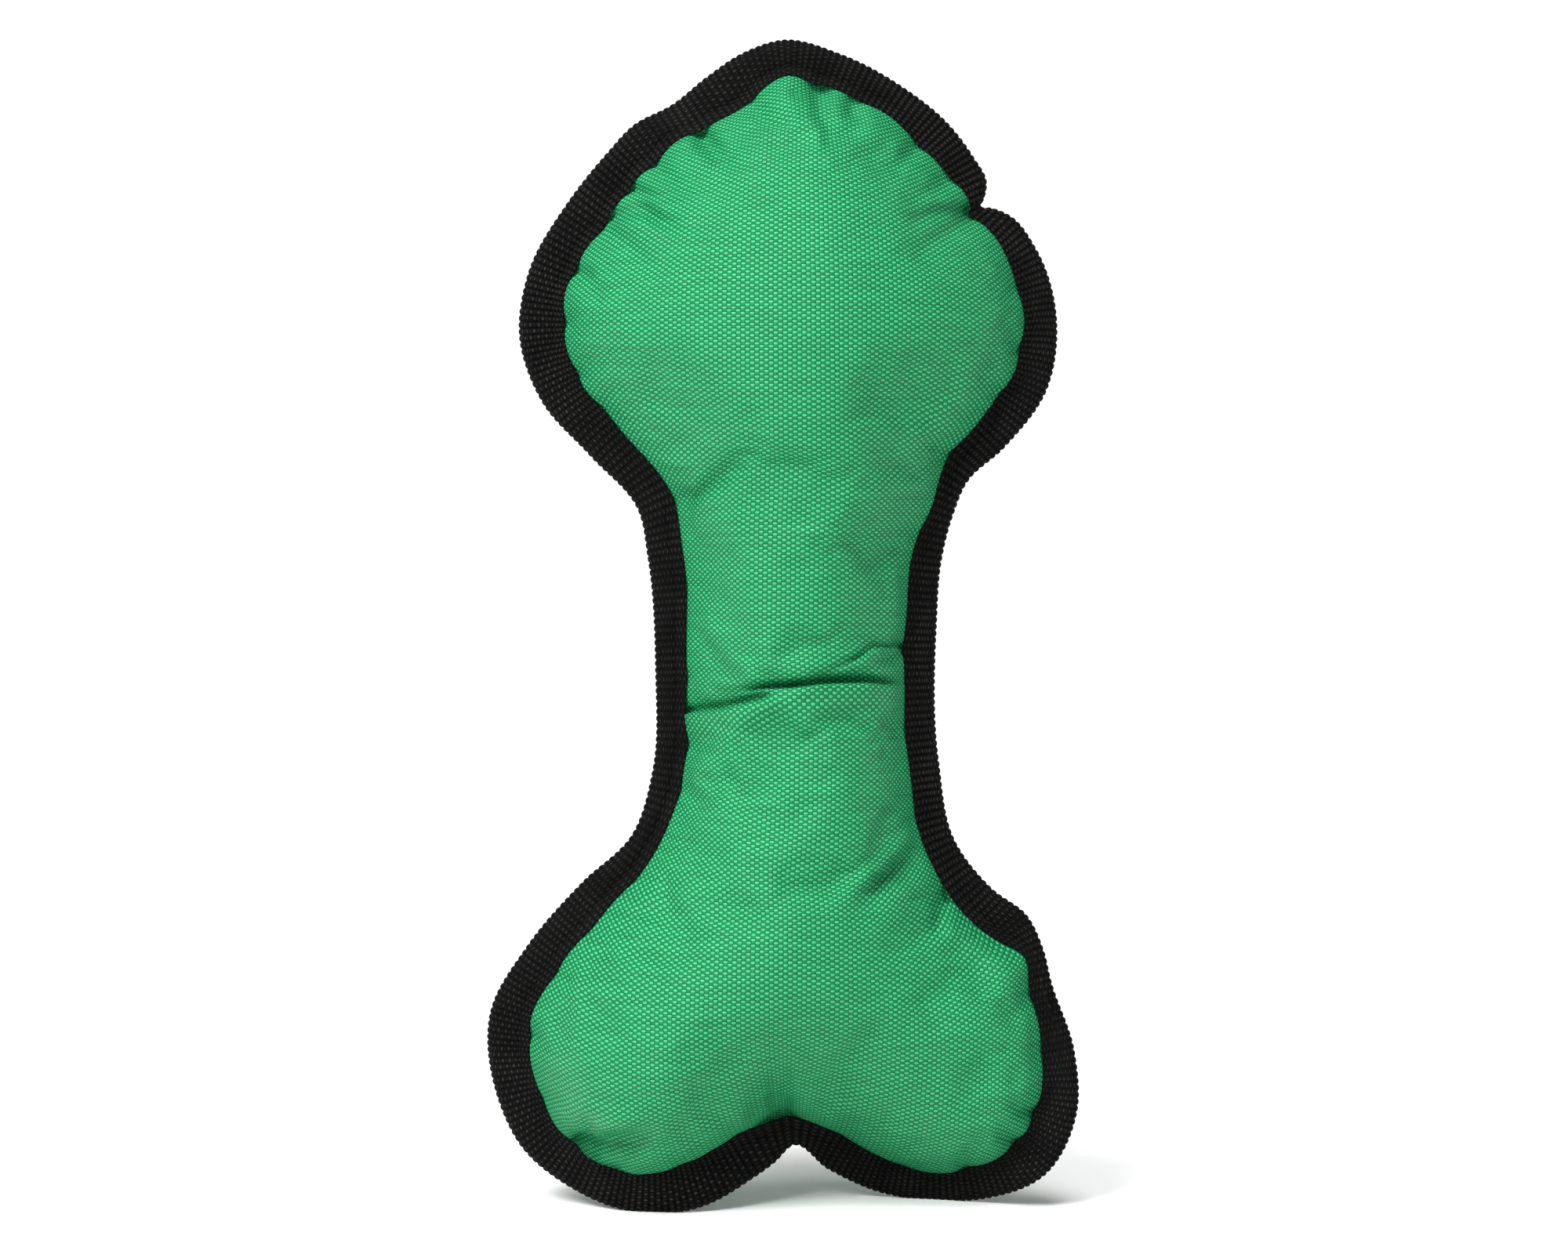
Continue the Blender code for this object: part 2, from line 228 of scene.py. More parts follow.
def spindle_faces(rows: int, columns: int) -> Array:
    """Faces of a tube of six columns, open along its rows, with each end closed by two quads.

    Args:
        rows: circles along the tube.
        columns: points in a circle, six.

    Returns:
        Point numbers, four to a row.
    """
    last = (rows - 1) * columns
    ends = np.array([[0, 1, 2, 3], [0, 3, 4, 5]])
    return np.vstack((tube_faces(rows, columns)[:last], ends, ends[:, ::-1] + last))


def sheet_faces(number: Array) -> Array:
    """Faces of an open grid of point numbers, each going round from its lowest corner."""
    corners = (number[:-1, :-1], number[:-1, 1:], number[1:, 1:], number[1:, :-1])
    return np.stack([corner.ravel() for corner in corners], axis=1)


def unit(vectors: Array) -> Array:
    """Vectors divided by their own lengths."""
    return vectors / np.linalg.norm(vectors, axis=-1, keepdims=True)


def smooth_step(value: Array) -> Array:
    """Rise from 0 to 1 with level ends: 3t^2 - 2t^3 of the clipped value."""
    share = np.clip(value, 0.0, 1.0)
    return share * share * (3.0 - 2.0 * share)


# ---- the seam outline ----

@dataclass(frozen=True)
class Seam:
    """The bound outline, sampled at even steps on each side of the bone."""

    points: Array
    width: Array
    inward: Array
    arc: Array

    @property
    def count(self) -> int:
        """How many stations go round the bone."""
        return len(self.points)

    @property
    def length(self) -> float:
        """The outline's whole length in millimetres."""
        return float(self.arc[-1] + np.linalg.norm(self.points[0] - self.points[-1]))

    def inset(self, distance: Array | float) -> Array:
        """Middle-plane places a distance in from the outline, one per station."""
        return self.points + self.inward * np.reshape(distance, (-1, 1))


@dataclass(frozen=True)
class SeamOutline:
    """The outline that the two panels were cut to, and the width of the tape that binds it.

    Each key is x, z and tape width in millimetres, from the notch between the lower lobes, round
    the left side to the crown and down the right side.
    """

    keys: tuple[Row, ...] = (
        (2.4, 14.0, 7.4), (-1.8, 10.4, 10.6), (-8.4, 6.4, 11.6), (-19, 1.3, 11.6),
        (-34, -0.5, 9.7), (-48.4, 3.0, 9.4), (-62.9, 12.8, 10.7), (-70.2, 28.9, 10.5),
        (-70.6, 46.4, 10), (-61.8, 62.4, 9), (-48.2, 78.4, 8.6), (-36.1, 90.2, 6.8),
        (-31.3, 105.2, 7.4), (-30.5, 129.4, 7.4), (-32.3, 156.5, 8.6), (-34.6, 168, 8.8),
        (-46, 181, 9.8), (-57.7, 194.2, 10.6), (-62.8, 209.7, 10.8), (-60.7, 224.8, 10),
        (-51.2, 241.7, 10.2), (-42, 253.2, 9.6), (-35.5, 260, 10), (-26.4, 264.8, 8.2),
        (-18, 271.5, 11), (-9.3, 277.2, 9.8), (0.2, 280.2, 8.8), (13.9, 276.8, 8.5),
        (28.6, 269, 7.7), (39.5, 260.2, 8.4), (45.3, 252.6, 7.6), (48.6, 246.3, 6),
        (48, 242.4, 3.8), (47.3, 240.6, 3.4), (49.6, 240.3, 4.2), (54.4, 238.3, 6.2),
        (60.4, 230.6, 7.4), (65.4, 213.8, 8), (63, 196.8, 9), (52.8, 183, 8.8), (44.2, 175, 6.8),
        (40.8, 167, 5.6), (38, 156, 7.2), (36.9, 141.4, 7.5), (37.5, 107.3, 7.2), (41.4, 88.4, 7.4),
        (50.2, 77, 8.9), (58.9, 70.2, 9.4), (62.6, 62.5, 5), (64.6, 54.5, 5.4), (70, 38.5, 7.8),
        (70.6, 23.6, 9.6), (63.6, 9, 10.2), (49.4, 1.2, 8.4), (36, -0.5, 7), (23, 1.4, 8.4),
        (11, 7.5, 8.8),
    )
    foot_press: float = 0.25      # the outline may run this far under the floor
    blur: float = 7.0             # millimetres of outline that a rib's direction is averaged over
    steps_per_key: int = 64

    def fine_curve(self) -> Array:
        """Join the keys by cubic pieces whose slope at a key is the mean of the chords on both
        sides, each weighted by the other's length.

        Returns:
            x, z and tape width, many rows to each key.
        """
        keys = np.asarray(self.keys, float)
        after = np.roll(keys, -1, axis=0)
        span = np.linalg.norm((after - keys)[:, :2], axis=1)[:, None]
        chord, before = (after - keys) / span, np.roll(span, 1, axis=0)
        slope = (chord * before + np.roll(chord, 1, axis=0) * span) / (span + before)
        t = np.linspace(0.0, 1.0, self.steps_per_key, endpoint=False)[None, :, None]
        leave, arrive = (slope * span)[:, None], (np.roll(slope, -1, axis=0) * span)[:, None]
        start, end = keys[:, None], after[:, None]
        curve = (start * (2 * t**3 - 3 * t**2 + 1) + leave * (t**3 - 2 * t**2 + t)
                 + end * (3 * t**2 - 2 * t**3) + arrive * (t**3 - t**2))
        return curve.reshape(-1, 3)

    def trace(self, per_side: int) -> Seam:
        """Sample the outline.

        Args:
            per_side: steps from the notch to the crown, and again back to the notch.

        Returns:
            The seam with its inward directions, which come from a blurred copy of the outline,
            so that ribs never cross where the outline turns sharply.
        """
        loop = self.fine_curve()
        loop = np.vstack((loop, loop[:1]))
        length = np.r_[0.0, np.cumsum(np.linalg.norm(np.diff(loop[:, :2], axis=0), axis=1))]
        crown = length[np.argmax(loop[:, 1])]
        places = np.r_[np.linspace(0.0, crown, per_side, endpoint=False),
                       np.linspace(crown, length[-1], per_side, endpoint=False)]
        traced = np.stack([np.interp(places, length, loop[:, axis]) for axis in range(3)], axis=1)
        points = np.maximum(traced[:, :2], (-np.inf, -self.foot_press))
        spread = self.blur * 2 * per_side / length[-1]
        wave = np.fft.fftfreq(2 * per_side)[:, None]
        bell = np.exp(-2 * (np.pi * wave * spread)**2)
        soft = np.fft.ifft(np.fft.fft(points, axis=0) * bell, axis=0).real
        along = unit(np.roll(soft, -1, axis=0) - np.roll(soft, 1, axis=0))
        return Seam(points, traced[:, 2], np.stack((along[:, 1], -along[:, 0]), axis=1), places)


# ---- the stuffed shape ----

@dataclass(frozen=True)
class Fold:
    """A crease or a soft valley in the cloth, along a short path in the middle plane.

    The cloth comes down gently over the wide side, on the left of the path, and climbs steeply over
    the narrow side to a ridge on the right of it, which may lean over the valley. The two sides may
    be equal.
    """

    path: tuple[tuple[float, float], ...]
    depth: float
    wide: float
    narrow: float
    ridge: float = 0.0
    fade_in: float = 0.35         # share of the path over which the fold fades at its start
    fade_out: float = 0.35
    lap: float = 0.0              # how far the ridge leans over the valley
    shoulder: float = 2.6         # how much wider the ridge is on its far side
    ridge_place: float = 2.1      # narrow widths from the path to the top of the ridge
    ridge_width: float = 1.3      # narrow widths in the near side of the ridge

    def measure(self, places: Array) -> tuple[Array, Array, Array]:
        """Where places lie beside the path.

        Args:
            places: x and z, one row each.

        Returns:
            The distance from the path, positive on its left, the fade along it, which is a smooth
            step at each end, and the path's nearest direction.
        """
        keys = np.asarray(self.path, float)
        start, step = keys[:-1], np.diff(keys, axis=0)
        size = np.linalg.norm(step, axis=1)
        walked = np.r_[0.0, np.cumsum(size)]
        offset = places[:, None] - start[None]
        share = np.clip(np.sum(offset * step, axis=2) / size**2, 0.0, 1.0)
        gap = offset - share[..., None] * step
        distance = np.linalg.norm(gap, axis=2)
        nearest, row = np.argmin(distance, axis=1), np.arange(len(places))
        side = step[nearest, 0] * gap[row, nearest, 1] - step[nearest, 1] * gap[row, nearest, 0]
        along = (walked[nearest] + share[row, nearest] * size[nearest]) / walked[-1]
        fade = smooth_step(along / self.fade_in) * smooth_step((1.0 - along) / self.fade_out)
        signed = distance[row, nearest] * np.where(side < 0, -1.0, 1.0)
        return signed, fade, (step / size[:, None])[nearest]

    def hill(self, signed: Array) -> Array:
        """The ridge's bell, which stands to the right of the path and falls off slowly beyond.

        Args:
            signed: distances from the path, positive on its left.

        Returns:
            Heights from 0 to 1.
        """
        beyond = signed + self.ridge_place * self.narrow
        width = self.ridge_width * self.narrow + np.where(beyond < 0, self.shoulder, 0.0)
        return np.exp(-(beyond / width)**2)

    def shift(self, places: Array) -> Array:
        """How far the fold moves the cloth outwards: the ridge's bell less the valley's, which is
        half a bell on each side of the path, with the side's own width.

        Args:
            places: x and z in the middle plane, one row each.

        Returns:
            Millimetres outwards, one for each place.
        """
        signed, fade = self.measure(places)[:2]
        valley = np.exp(-(signed / np.where(signed > 0, self.wide, self.narrow))**2)
        return fade * (self.ridge * self.hill(signed) - self.depth * valley)

    def slide(self, places: Array) -> Array:
        """How far the ridge leans over the valley, as x and z for each place.

        Args:
            places: x and z in the middle plane, one row each.

        Returns:
            Movements in x and z, one row each.
        """
        signed, fade, along = self.measure(places)
        left = np.stack((-along[:, 1], along[:, 0]), axis=1)
        return left * (self.lap * fade * self.hill(signed))[:, None]


@dataclass(frozen=True)
class Gathers:
    """The puckers that the binding leaves where it eases the cloth round the curves of the seam.

    Each pucker is x, z, how deep it cuts into the cloth's edge, and how far it runs into the cloth.
    """

    puckers: tuple[Row, ...] = (
        (8, 270, 1.0, 26), (18, 267, 0.5, 9), (33, 256, 0.8, 12), (41, 248, 0.5, 12),
        (44, 239, 0.7, 18), (55, 221, 0.4, 10), (56, 207, 0.7, 12), (51, 197, 0.4, 9),
        (40, 182, 0.6, 10), (33, 164, 0.3, 9), (28, 134, 0.9, 9), (30, 115, 0.3, 7),
        (32, 94, 0.3, 9), (40, 75, 0.3, 12), (59, 51, 0.7, 10), (60, 38, 0.4, 8),
        (59, 24, 0.9, 10), (55, 17, 0.9, 10), (44, 10, 0.8, 10), (31, 10, 0.3, 9),
        (14, 16, 0.3, 9), (1, 23, 0.7, 20), (-11, 19, 0.35, 9), (-25, 12, 0.3, 9),
        (-40, 11, 0.45, 10), (-49, 16, 1.1, 16), (-57, 26, 0.3, 8), (-61, 41, 0.7, 10),
        (-55, 57, 0.45, 9), (-47, 68, 0.25, 8), (-36, 80, 0.3, 9), (-25, 101, 0.35, 8),
        (-23, 112, 0.6, 8), (-23, 128, 0.4, 8), (-24, 150, 0.2, 8), (-26, 171, 0.4, 12),
        (-43, 193, 0.4, 9), (-49, 201, 0.6, 11), (-52, 213, 0.7, 12), (-50, 226, 0.95, 12),
        (-43, 236, 0.8, 18), (-37, 244, 0.7, 15), (-31, 251, 0.8, 12), (-20, 259, 1.3, 14),
        (-8, 267, 0.6, 12),
    )
    edge_share: float = 1.0       # how much of a pucker's depth shows at the tape's inner edge
    swell: float = 1.5            # how far the cloth rises between puckers, for each mm of depth
    swell_fade: float = 6.0
    dip: float = 2.3              # how far the cloth sinks in a pucker, for each mm of depth
    start: float = 3.0            # a pucker's valley starts this far outside the cloth's edge
    valley_width: float = 1.3
    width_per_reach: float = 0.09
    fade_in: float = 0.12
    fade_out: float = 0.8
    crest_power: float = 0.7
    crest_level: float = 0.6      # the crest's height where the tape keeps its own width

    def stations(self, seam: Seam) -> tuple[Array, Array]:
        """The puckers' lengths round the seam, in order, and their rows in the same order.

        Args:
            seam: the sampled outline.

        Returns:
            The lengths, and the rows of the table.
        """
        rows = np.asarray(self.puckers, float)
        gap = np.linalg.norm(seam.inset(seam.width)[None] - rows[:, None, :2], axis=2)
        near = np.argmin(gap, axis=1)
        order = np.argsort(seam.arc[near])
        return seam.arc[near][order], rows[order]

    def crest(self, seam: Seam) -> Array:
        """1 midway between two puckers and 0 at a pucker: a power of half a sine in between.

        Args:
            seam: the sampled outline.

        Returns:
            Heights, one per station.
        """
        arc = self.stations(seam)[0]
        before = np.searchsorted(arc, seam.arc, side="right") - 1
        start = arc[before]
        span = (arc[(before + 1) % len(arc)] - start) % seam.length
        share = np.clip(((seam.arc - start) % seam.length) / span, 0.0, 1.0)
        return np.sin(np.pi * share)**self.crest_power

    def valleys(self, seam: Seam, foot: Array) -> tuple[Fold, ...]:
        """A valley for each pucker: from the cloth's edge straight in, over its own reach.

        Args:
            seam: the sampled outline.
            foot: the dome's foot, one row per station.

        Returns:
            The valleys.
        """
        arc, rows = self.stations(seam)
        near = np.searchsorted(seam.arc, arc)
        folds = []
        for place, inward, row in zip(foot[near], seam.inward[near], rows):
            depth, reach = row[2], row[3]
            path = (tuple(place - inward * self.start), tuple(place + inward * reach))
            width = self.valley_width + self.width_per_reach * reach
            folds.append(Fold(path, self.dip * depth, width, width, 0.0,
                              self.fade_in, self.fade_out))
        return tuple(folds)

    def spread(self, seam: Seam, column: int) -> Array:
        """One column of the puckers, carried round the seam in straight steps between them."""
        arc, rows = self.stations(seam)
        return np.interp(seam.arc, arc, rows[:, column], period=seam.length)


@dataclass(frozen=True)
class StuffedShape:
    """The bone's form between its seams: how high the cloth stands, and how the edge sways."""

    outline: SeamOutline
    gathers: Gathers = Gathers()
    per_side: int = 560
    half_thickness: float = 31.0
    power: float = 0.62
    soft_start: float = 1.5       # keeps the cloth from leaving the seam too steeply
    cloth_face: float = 0.8       # depth of the cloth's outside in the seam
    foot_inset: float = -0.7      # the dome starts this far outside the tape's inner edge
    spine_x: float = 1.4
    spine_keys: tuple[Row, ...] = (
        (0, 36), (0.25, 52), (0.42, 92), (0.62, 166), (0.8, 202), (1, 234),
    )
    spine_samples: int = 201
    spine_blur: int = 15          # samples on each side that the spine's height is averaged over
    foot_sway: float = 11.0
    foot_wave: float = 52.0
    foot_height: float = 52.0
    flare: float = 1.1            # how far the tape's outer edge waves out of the seam's plane
    calm: float = 0.4             # the share of that wave where the seam has no puckers
    edge_waves: tuple[Row, ...] = ((7, 0.4, 1.0), (17, 1.9, 0.6), (29, 0.0, 0.4))

    def seam(self) -> Seam:
        """The seam at the cloth's own spacing."""
        return self.outline.trace(self.per_side)

    def tape_width(self, seam: Seam) -> Array:
        """The tape's visible width, less where the cloth swells over it between two puckers.

        Args:
            seam: the sampled outline.

        Returns:
            Widths in millimetres, one per station.
        """
        gathers = self.gathers
        room = gathers.edge_share * gathers.spread(seam, 2)
        return seam.width + room * (gathers.crest_level - gathers.crest(seam))

    def foot(self, seam: Seam) -> Array:
        """Where the stuffed dome rises out of the seam."""
        return seam.inset(self.tape_width(seam) + self.foot_inset)

    def spine(self, seam: Seam) -> Array:
        """The point of the middle line that each station looks at; both sides share them.

        Args:
            seam: the sampled outline.

        Returns:
            x and z, one row per station.
        """
        station = np.arange(seam.count)
        share = np.minimum(station, seam.count - station) / (seam.count / 2)
        keys = np.asarray(self.spine_keys, float)
        fine = np.linspace(0.0, 1.0, self.spine_samples)
        level = np.interp(fine, keys[:, 0], keys[:, 1])
        bell = np.hanning(2 * self.spine_blur + 1)
        level = np.pad(level, self.spine_blur, mode="reflect", reflect_type="odd")
        level = np.convolve(level, bell / bell.sum(), mode="valid")
        return np.stack((np.full(seam.count, self.spine_x), np.interp(share, fine, level)), axis=1)

    def distance(self, places: Array, foot: Array) -> Array:
        """A smooth distance from the dome's foot.

        Each straight piece of the foot pulls with the inverse cube of its distance, summed along
        the piece in closed form. Beside one long edge the result is the plain distance.

        Args:
            places: x and z in the middle plane, one row each.
            foot: the dome's foot, one row per station.

        Returns:
            Distances in millimetres.
        """
        start, step = foot, np.roll(foot, -1, axis=0) - foot
        size = np.linalg.norm(step, axis=1)
        along = step / size[:, None]
        result, batch = np.empty(len(places)), 2048
        for first in range(0, len(places), batch):
            gap = start[None] - places[first:first + batch, None]
            near = np.sum(gap * along, axis=2)
            far = near + size
            across = np.maximum(np.sum(gap**2, axis=2) - near**2, TINY)
            pull = (far / np.sqrt(far**2 + across) - near / np.sqrt(near**2 + across)) / across
            result[first:first + batch] = np.sqrt(2.0 / np.sum(pull, axis=1))
        return result

    def reference(self) -> float:
        """The smooth distance at the fullest place, in the middle of the lower lobes."""
        fullest = np.array([[self.spine_x, self.spine_keys[1][1]]])
        return float(self.distance(fullest, self.foot(self.seam()))[0])

    def height(self, distance: Array, reference: float) -> Array:
        """The dome's height: a power of the smooth distance, scaled to the fullest place.

        Args:
            distance: smooth distances from the foot.
            reference: the distance at the fullest place.

        Returns:
            Heights in millimetres.
        """
        def rise(reach: Array | float) -> Array | float:
            """The power curve, from nought at the foot."""
            return (reach + self.soft_start)**self.power - self.soft_start**self.power

        return (self.half_thickness - self.cloth_face) * rise(distance) / rise(reference)

    def sway(self, places: Array) -> Array:
        """How far the middle plane lies behind the middle: one foot forward, the other back."""
        wave = np.sin(np.pi * places[:, 0] / self.foot_wave)
        return self.foot_sway * wave * np.exp(-(places[:, 1] / self.foot_height)**2)

    def edge_wave(self, seam: Seam) -> Array:
        """How far the free edge of the tape leans forward or back: the sum of three sines round the
        bone, each with its count of waves, its phase and its height.

        Args:
            seam: the sampled outline.

        Returns:
            Millimetres towards the back, one per station.
        """
        turn = 2 * np.pi * seam.arc / seam.length
        wave = sum(height * np.sin(count * turn + phase)
                   for count, phase, height in self.edge_waves)
        puckered = np.minimum(self.gathers.spread(seam, 2), 1.0)
        return self.flare * wave * (self.calm + (1 - self.calm) * puckered)

    def swelling(self, seam: Seam) -> Array:
        """How far the cloth rises between two puckers, one height per station."""
        return self.gathers.swell * self.gathers.crest(seam) * self.gathers.spread(seam, 2)

    def in_space(self, places: Array, depth: Array | float) -> Array:
        """Middle-plane places moved to their depth, with the sway of the feet."""
        return np.stack((places[:, 0], self.sway(places) + depth, places[:, 1]), axis=1)


FRONT_FOLDS = (
    Fold(((-13, 126.4), (-4, 127.5), (10, 128.4), (19, 128), (25, 127.3), (32, 126.6)),
         5.2, 1.5, 0.8, 1.7, 0.22, 0.3, 1.5),
    Fold(((-27, 118.4), (-18.5, 120.5), (-13, 121.8), (-5.4, 124.1), (4, 126.6)),
         5.2, 1.6, 0.8, 1.8, 0.1, 0.45, 1.6),
    Fold(((-27, 122), (-14, 124), (-4, 126.5)), 1.0, 3.0, 2.0, 0.0, 0.1, 0.4),
    Fold(((0, 114), (7, 116.5), (13, 119)), 0.8, 1.4, 1.0, 0.6, 0.45, 0.45),
    Fold(((9, 130.5), (15, 133.4), (20.5, 136.6), (26, 136.8), (33, 132.5)),
         2.6, 1.2, 0.7, 0.7, 0.4, 0.15, 0.5),
    Fold(((-27, 167), (-17, 175), (-6, 185)), 2.8, 2.2, 1.7, 1.0, 0.3, 0.6),
    Fold(((9.2, 272), (9.6, 262), (12, 251)), 3.0, 2.8, 2.2, 0.8, 0.12, 0.6),
    Fold(((16, 268), (17, 261), (15, 253)), 1.5, 2.4, 2.0, 0.5, 0.12, 0.6),
    Fold(((-20, 261), (-18, 256), (-11, 247)), 1.8, 2.2, 2.0, 0.6, 0.15, 0.6),
    Fold(((-45, 237), (-33, 239.5), (-19, 233)), 3.8, 2.4, 1.3, 1.4, 0.15, 0.6, 0.6),
    Fold(((-39, 246), (-30, 243), (-21, 241)), 2.8, 1.7, 1.2, 1.0, 0.15, 0.6, 0.4),
    Fold(((46, 240), (36, 239.5), (26, 236)), 2.2, 2.2, 1.5, 1.0, 0.1, 0.6),
    Fold(((45, 241), (38, 247), (32, 256)), 1.3, 2.2, 2.0, 0.6, 0.1, 0.6),
    Fold(((16, 76), (24, 81.5), (36, 91)), 4.2, 1.8, 3.2, 1.8, 0.35, 0.6),
    Fold(((35, 64), (38.5, 73), (42, 81)), 3.4, 2.2, 1.6, 1.3, 0.4, 0.25),
    Fold(((37, 77), (46, 70), (60, 59)), 1.6, 2.2, 1.7, 1.1, 0.3, 0.3),
    Fold(((-1, 19), (-2, 28), (-2.5, 42)), 4.6, 5.4, 4.2, 0.8, 0.1, 0.7),
    Fold(((-27, 23), (-36, 20), (-43, 18), (-51, 15.5)), 9.0, 5.5, 2.6, 1.0, 0.5, 0.15, 0.8),
)
BACK_FOLDS = (
    Fold(((-32, 131), (-16, 128), (0, 129), (12, 132)), 4.0, 1.5, 0.9, 1.5, 0.1, 0.3, 1.2),
    Fold(((8, 121), (20, 121.5), (33, 118)), 3.2, 1.6, 1.0, 1.2, 0.4, 0.12, 0.9),
    Fold(((-30, 93), (-18, 86), (-8, 76)), 2.2, 2.4, 2.8, 0.9, 0.12, 0.5),
    Fold(((34, 168), (22, 178), (12, 188)), 2.2, 2.4, 2.8, 0.9, 0.12, 0.5),
    Fold(((-2, 275), (-4, 260), (-3, 248)), 2.4, 3.0, 2.4, 0.8, 0.1, 0.6),
    Fold(((46, 240), (35, 239), (24, 234)), 1.8, 2.4, 1.8, 0.7, 0.1, 0.5),
    Fold(((2, 19), (3, 30), (2, 42)), 4.2, 5.0, 4.6, 0.8, 0.1, 0.6),
    Fold(((54, 15), (42, 20), (28, 24)), 2.4, 1.8, 2.8, 1.0, 0.1, 0.5),
    Fold(((-50, 228), (-38, 224), (-26, 216)), 1.8, 2.4, 2.0, 0.8, 0.1, 0.6),
)


@dataclass(frozen=True)
class Raster:
    """A field of movements on an even grid in the middle plane, in millimetres."""

    left: float
    low: float
    step: float
    moved: Array

    def at(self, places: Array) -> Array:
        """The movement at any places: the mean of the four grid points round, weighted by area.

        Args:
            places: x and z in the middle plane, one row each.

        Returns:
            Movements in three directions, one row each.
        """
        column = np.clip((places[..., 0] - self.left) / self.step, 0, self.moved.shape[1] - 1.001)
        row = np.clip((places[..., 1] - self.low) / self.step, 0, self.moved.shape[0] - 1.001)
        i, j = row.astype(int), column.astype(int)
        u, v = (row - i)[..., None], (column - j)[..., None]
        return ((1 - u) * ((1 - v) * self.moved[i, j] + v * self.moved[i, j + 1])
                + u * ((1 - v) * self.moved[i + 1, j] + v * self.moved[i + 1, j + 1]))


@dataclass(frozen=True)
class ClothSettling:
    """A cloth simulation of one panel: a coarse even net, pinned round its edge, under pressure.

    The net is cut a little too large, so it buckles beside the seam as the real cloth does. Only
    its movement is used, on the fine surface.
    """

    step: float = 2.6
    pressure: float = 4.0
    ease: float = 0.03            # the cloth is this share longer than the form it starts from
    frames: int = 20
    bending: float = 0.6
    cap: float = 2.2              # how far a point may move
    hold: float = 6.0             # the movement dies out over this distance from the seam
    narrowest: float = 1.5        # the net starts with the folds that are wider than this

    def inside(self, places: Array, foot: Array) -> Array:
        """Whether each place lies inside the foot, which an upward ray then crosses an odd number
        of times.

        Args:
            places: x and z in the middle plane, one row each.
            foot: the dome's foot, one row per station.

        Returns:
            True for each place inside.
        """
        first, second = foot, np.roll(foot, -1, axis=0)
        x, z = places[:, :1], places[:, 1:]
        between = (first[:, 0] > x) != (second[:, 0] > x)
        run = np.where(first[:, 0] == second[:, 0], TINY, second[:, 0] - first[:, 0])
        height = first[:, 1] + (x - first[:, 0]) / run * (second[:, 1] - first[:, 1])
        return np.sum(between & (height > z), axis=1) % 2 == 1

    def settle(self, shape: StuffedShape, foot: Array, folds: list[Fold], side: Side) -> Raster:
        """Run the simulation.

        Args:
            shape: the stuffed form that the net starts from.
            foot: the dome's foot, where the net is pinned.
            folds: the wide folds, which the net starts with.
            side: the panel's side.

        Returns:
            The net's movement, capped, on the even grid.
        """
        low, high = foot.min(axis=0) - self.step, foot.max(axis=0) + self.step
        x, z = np.meshgrid(*(np.arange(low[axis], high[axis], self.step) for axis in (0, 1)))
        flat = np.stack((x.ravel(), z.ravel()), axis=1)
        inside = self.inside(flat, foot)
        reach = np.where(inside, shape.distance(flat, foot), 0.0)
        height = shape.height(reach, shape.reference())
        height = height + sum(fold.shift(flat) for fold in folds) * inside
        space = shape.in_space(flat, side.value * (shape.cloth_face + np.maximum(height, 0.0)))
        faces = sheet_faces(np.arange(len(flat)).reshape(x.shape))
        faces = faces[inside[faces].all(axis=1)]
        if side is Side.BACK:
            faces = faces[:, ::-1]
        used, packed = np.unique(faces, return_inverse=True)
        net = mesh_piece("settling_net", space[used], packed.reshape(faces.shape))
        shared = np.bincount(packed.ravel(), minlength=len(used))
        pins = net.vertex_groups.new(name="seam")
        pins.add(np.nonzero(shared < 4)[0].tolist(), 1.0, "REPLACE")
        cloth = net.modifiers.new("settling", "CLOTH")
        cloth.settings.use_pressure = True
        cloth.settings.uniform_pressure_force = self.pressure
        cloth.settings.effector_weights.gravity = 0.0
        cloth.settings.vertex_group_mass = "seam"
        cloth.settings.shrink_min = -self.ease
        cloth.settings.bending_stiffness = self.bending
        cloth.point_cache.frame_start, cloth.point_cache.frame_end = 1, self.frames
        scene = bpy.context.scene
        for frame_number in range(1, self.frames + 1):
            scene.frame_set(frame_number)
        posed = net.evaluated_get(bpy.context.evaluated_depsgraph_get()).data
        shift = read_rows(posed.vertices, "co") / MM - space[used]
        size = np.linalg.norm(shift, axis=1)
        LOG.info("settling: %d points moved up to %.1f mm, middle %.2f mm",
                 len(used), size.max(), np.median(size))
        shift *= np.minimum(1.0, self.cap / np.maximum(size, TINY))[:, None]
        bpy.data.objects.remove(net)
        scene.frame_set(1)
        moved = np.zeros((len(flat), 3))
        moved[used] = shift
        return Raster(low[0], low[1], self.step, moved.reshape(*x.shape, 3))


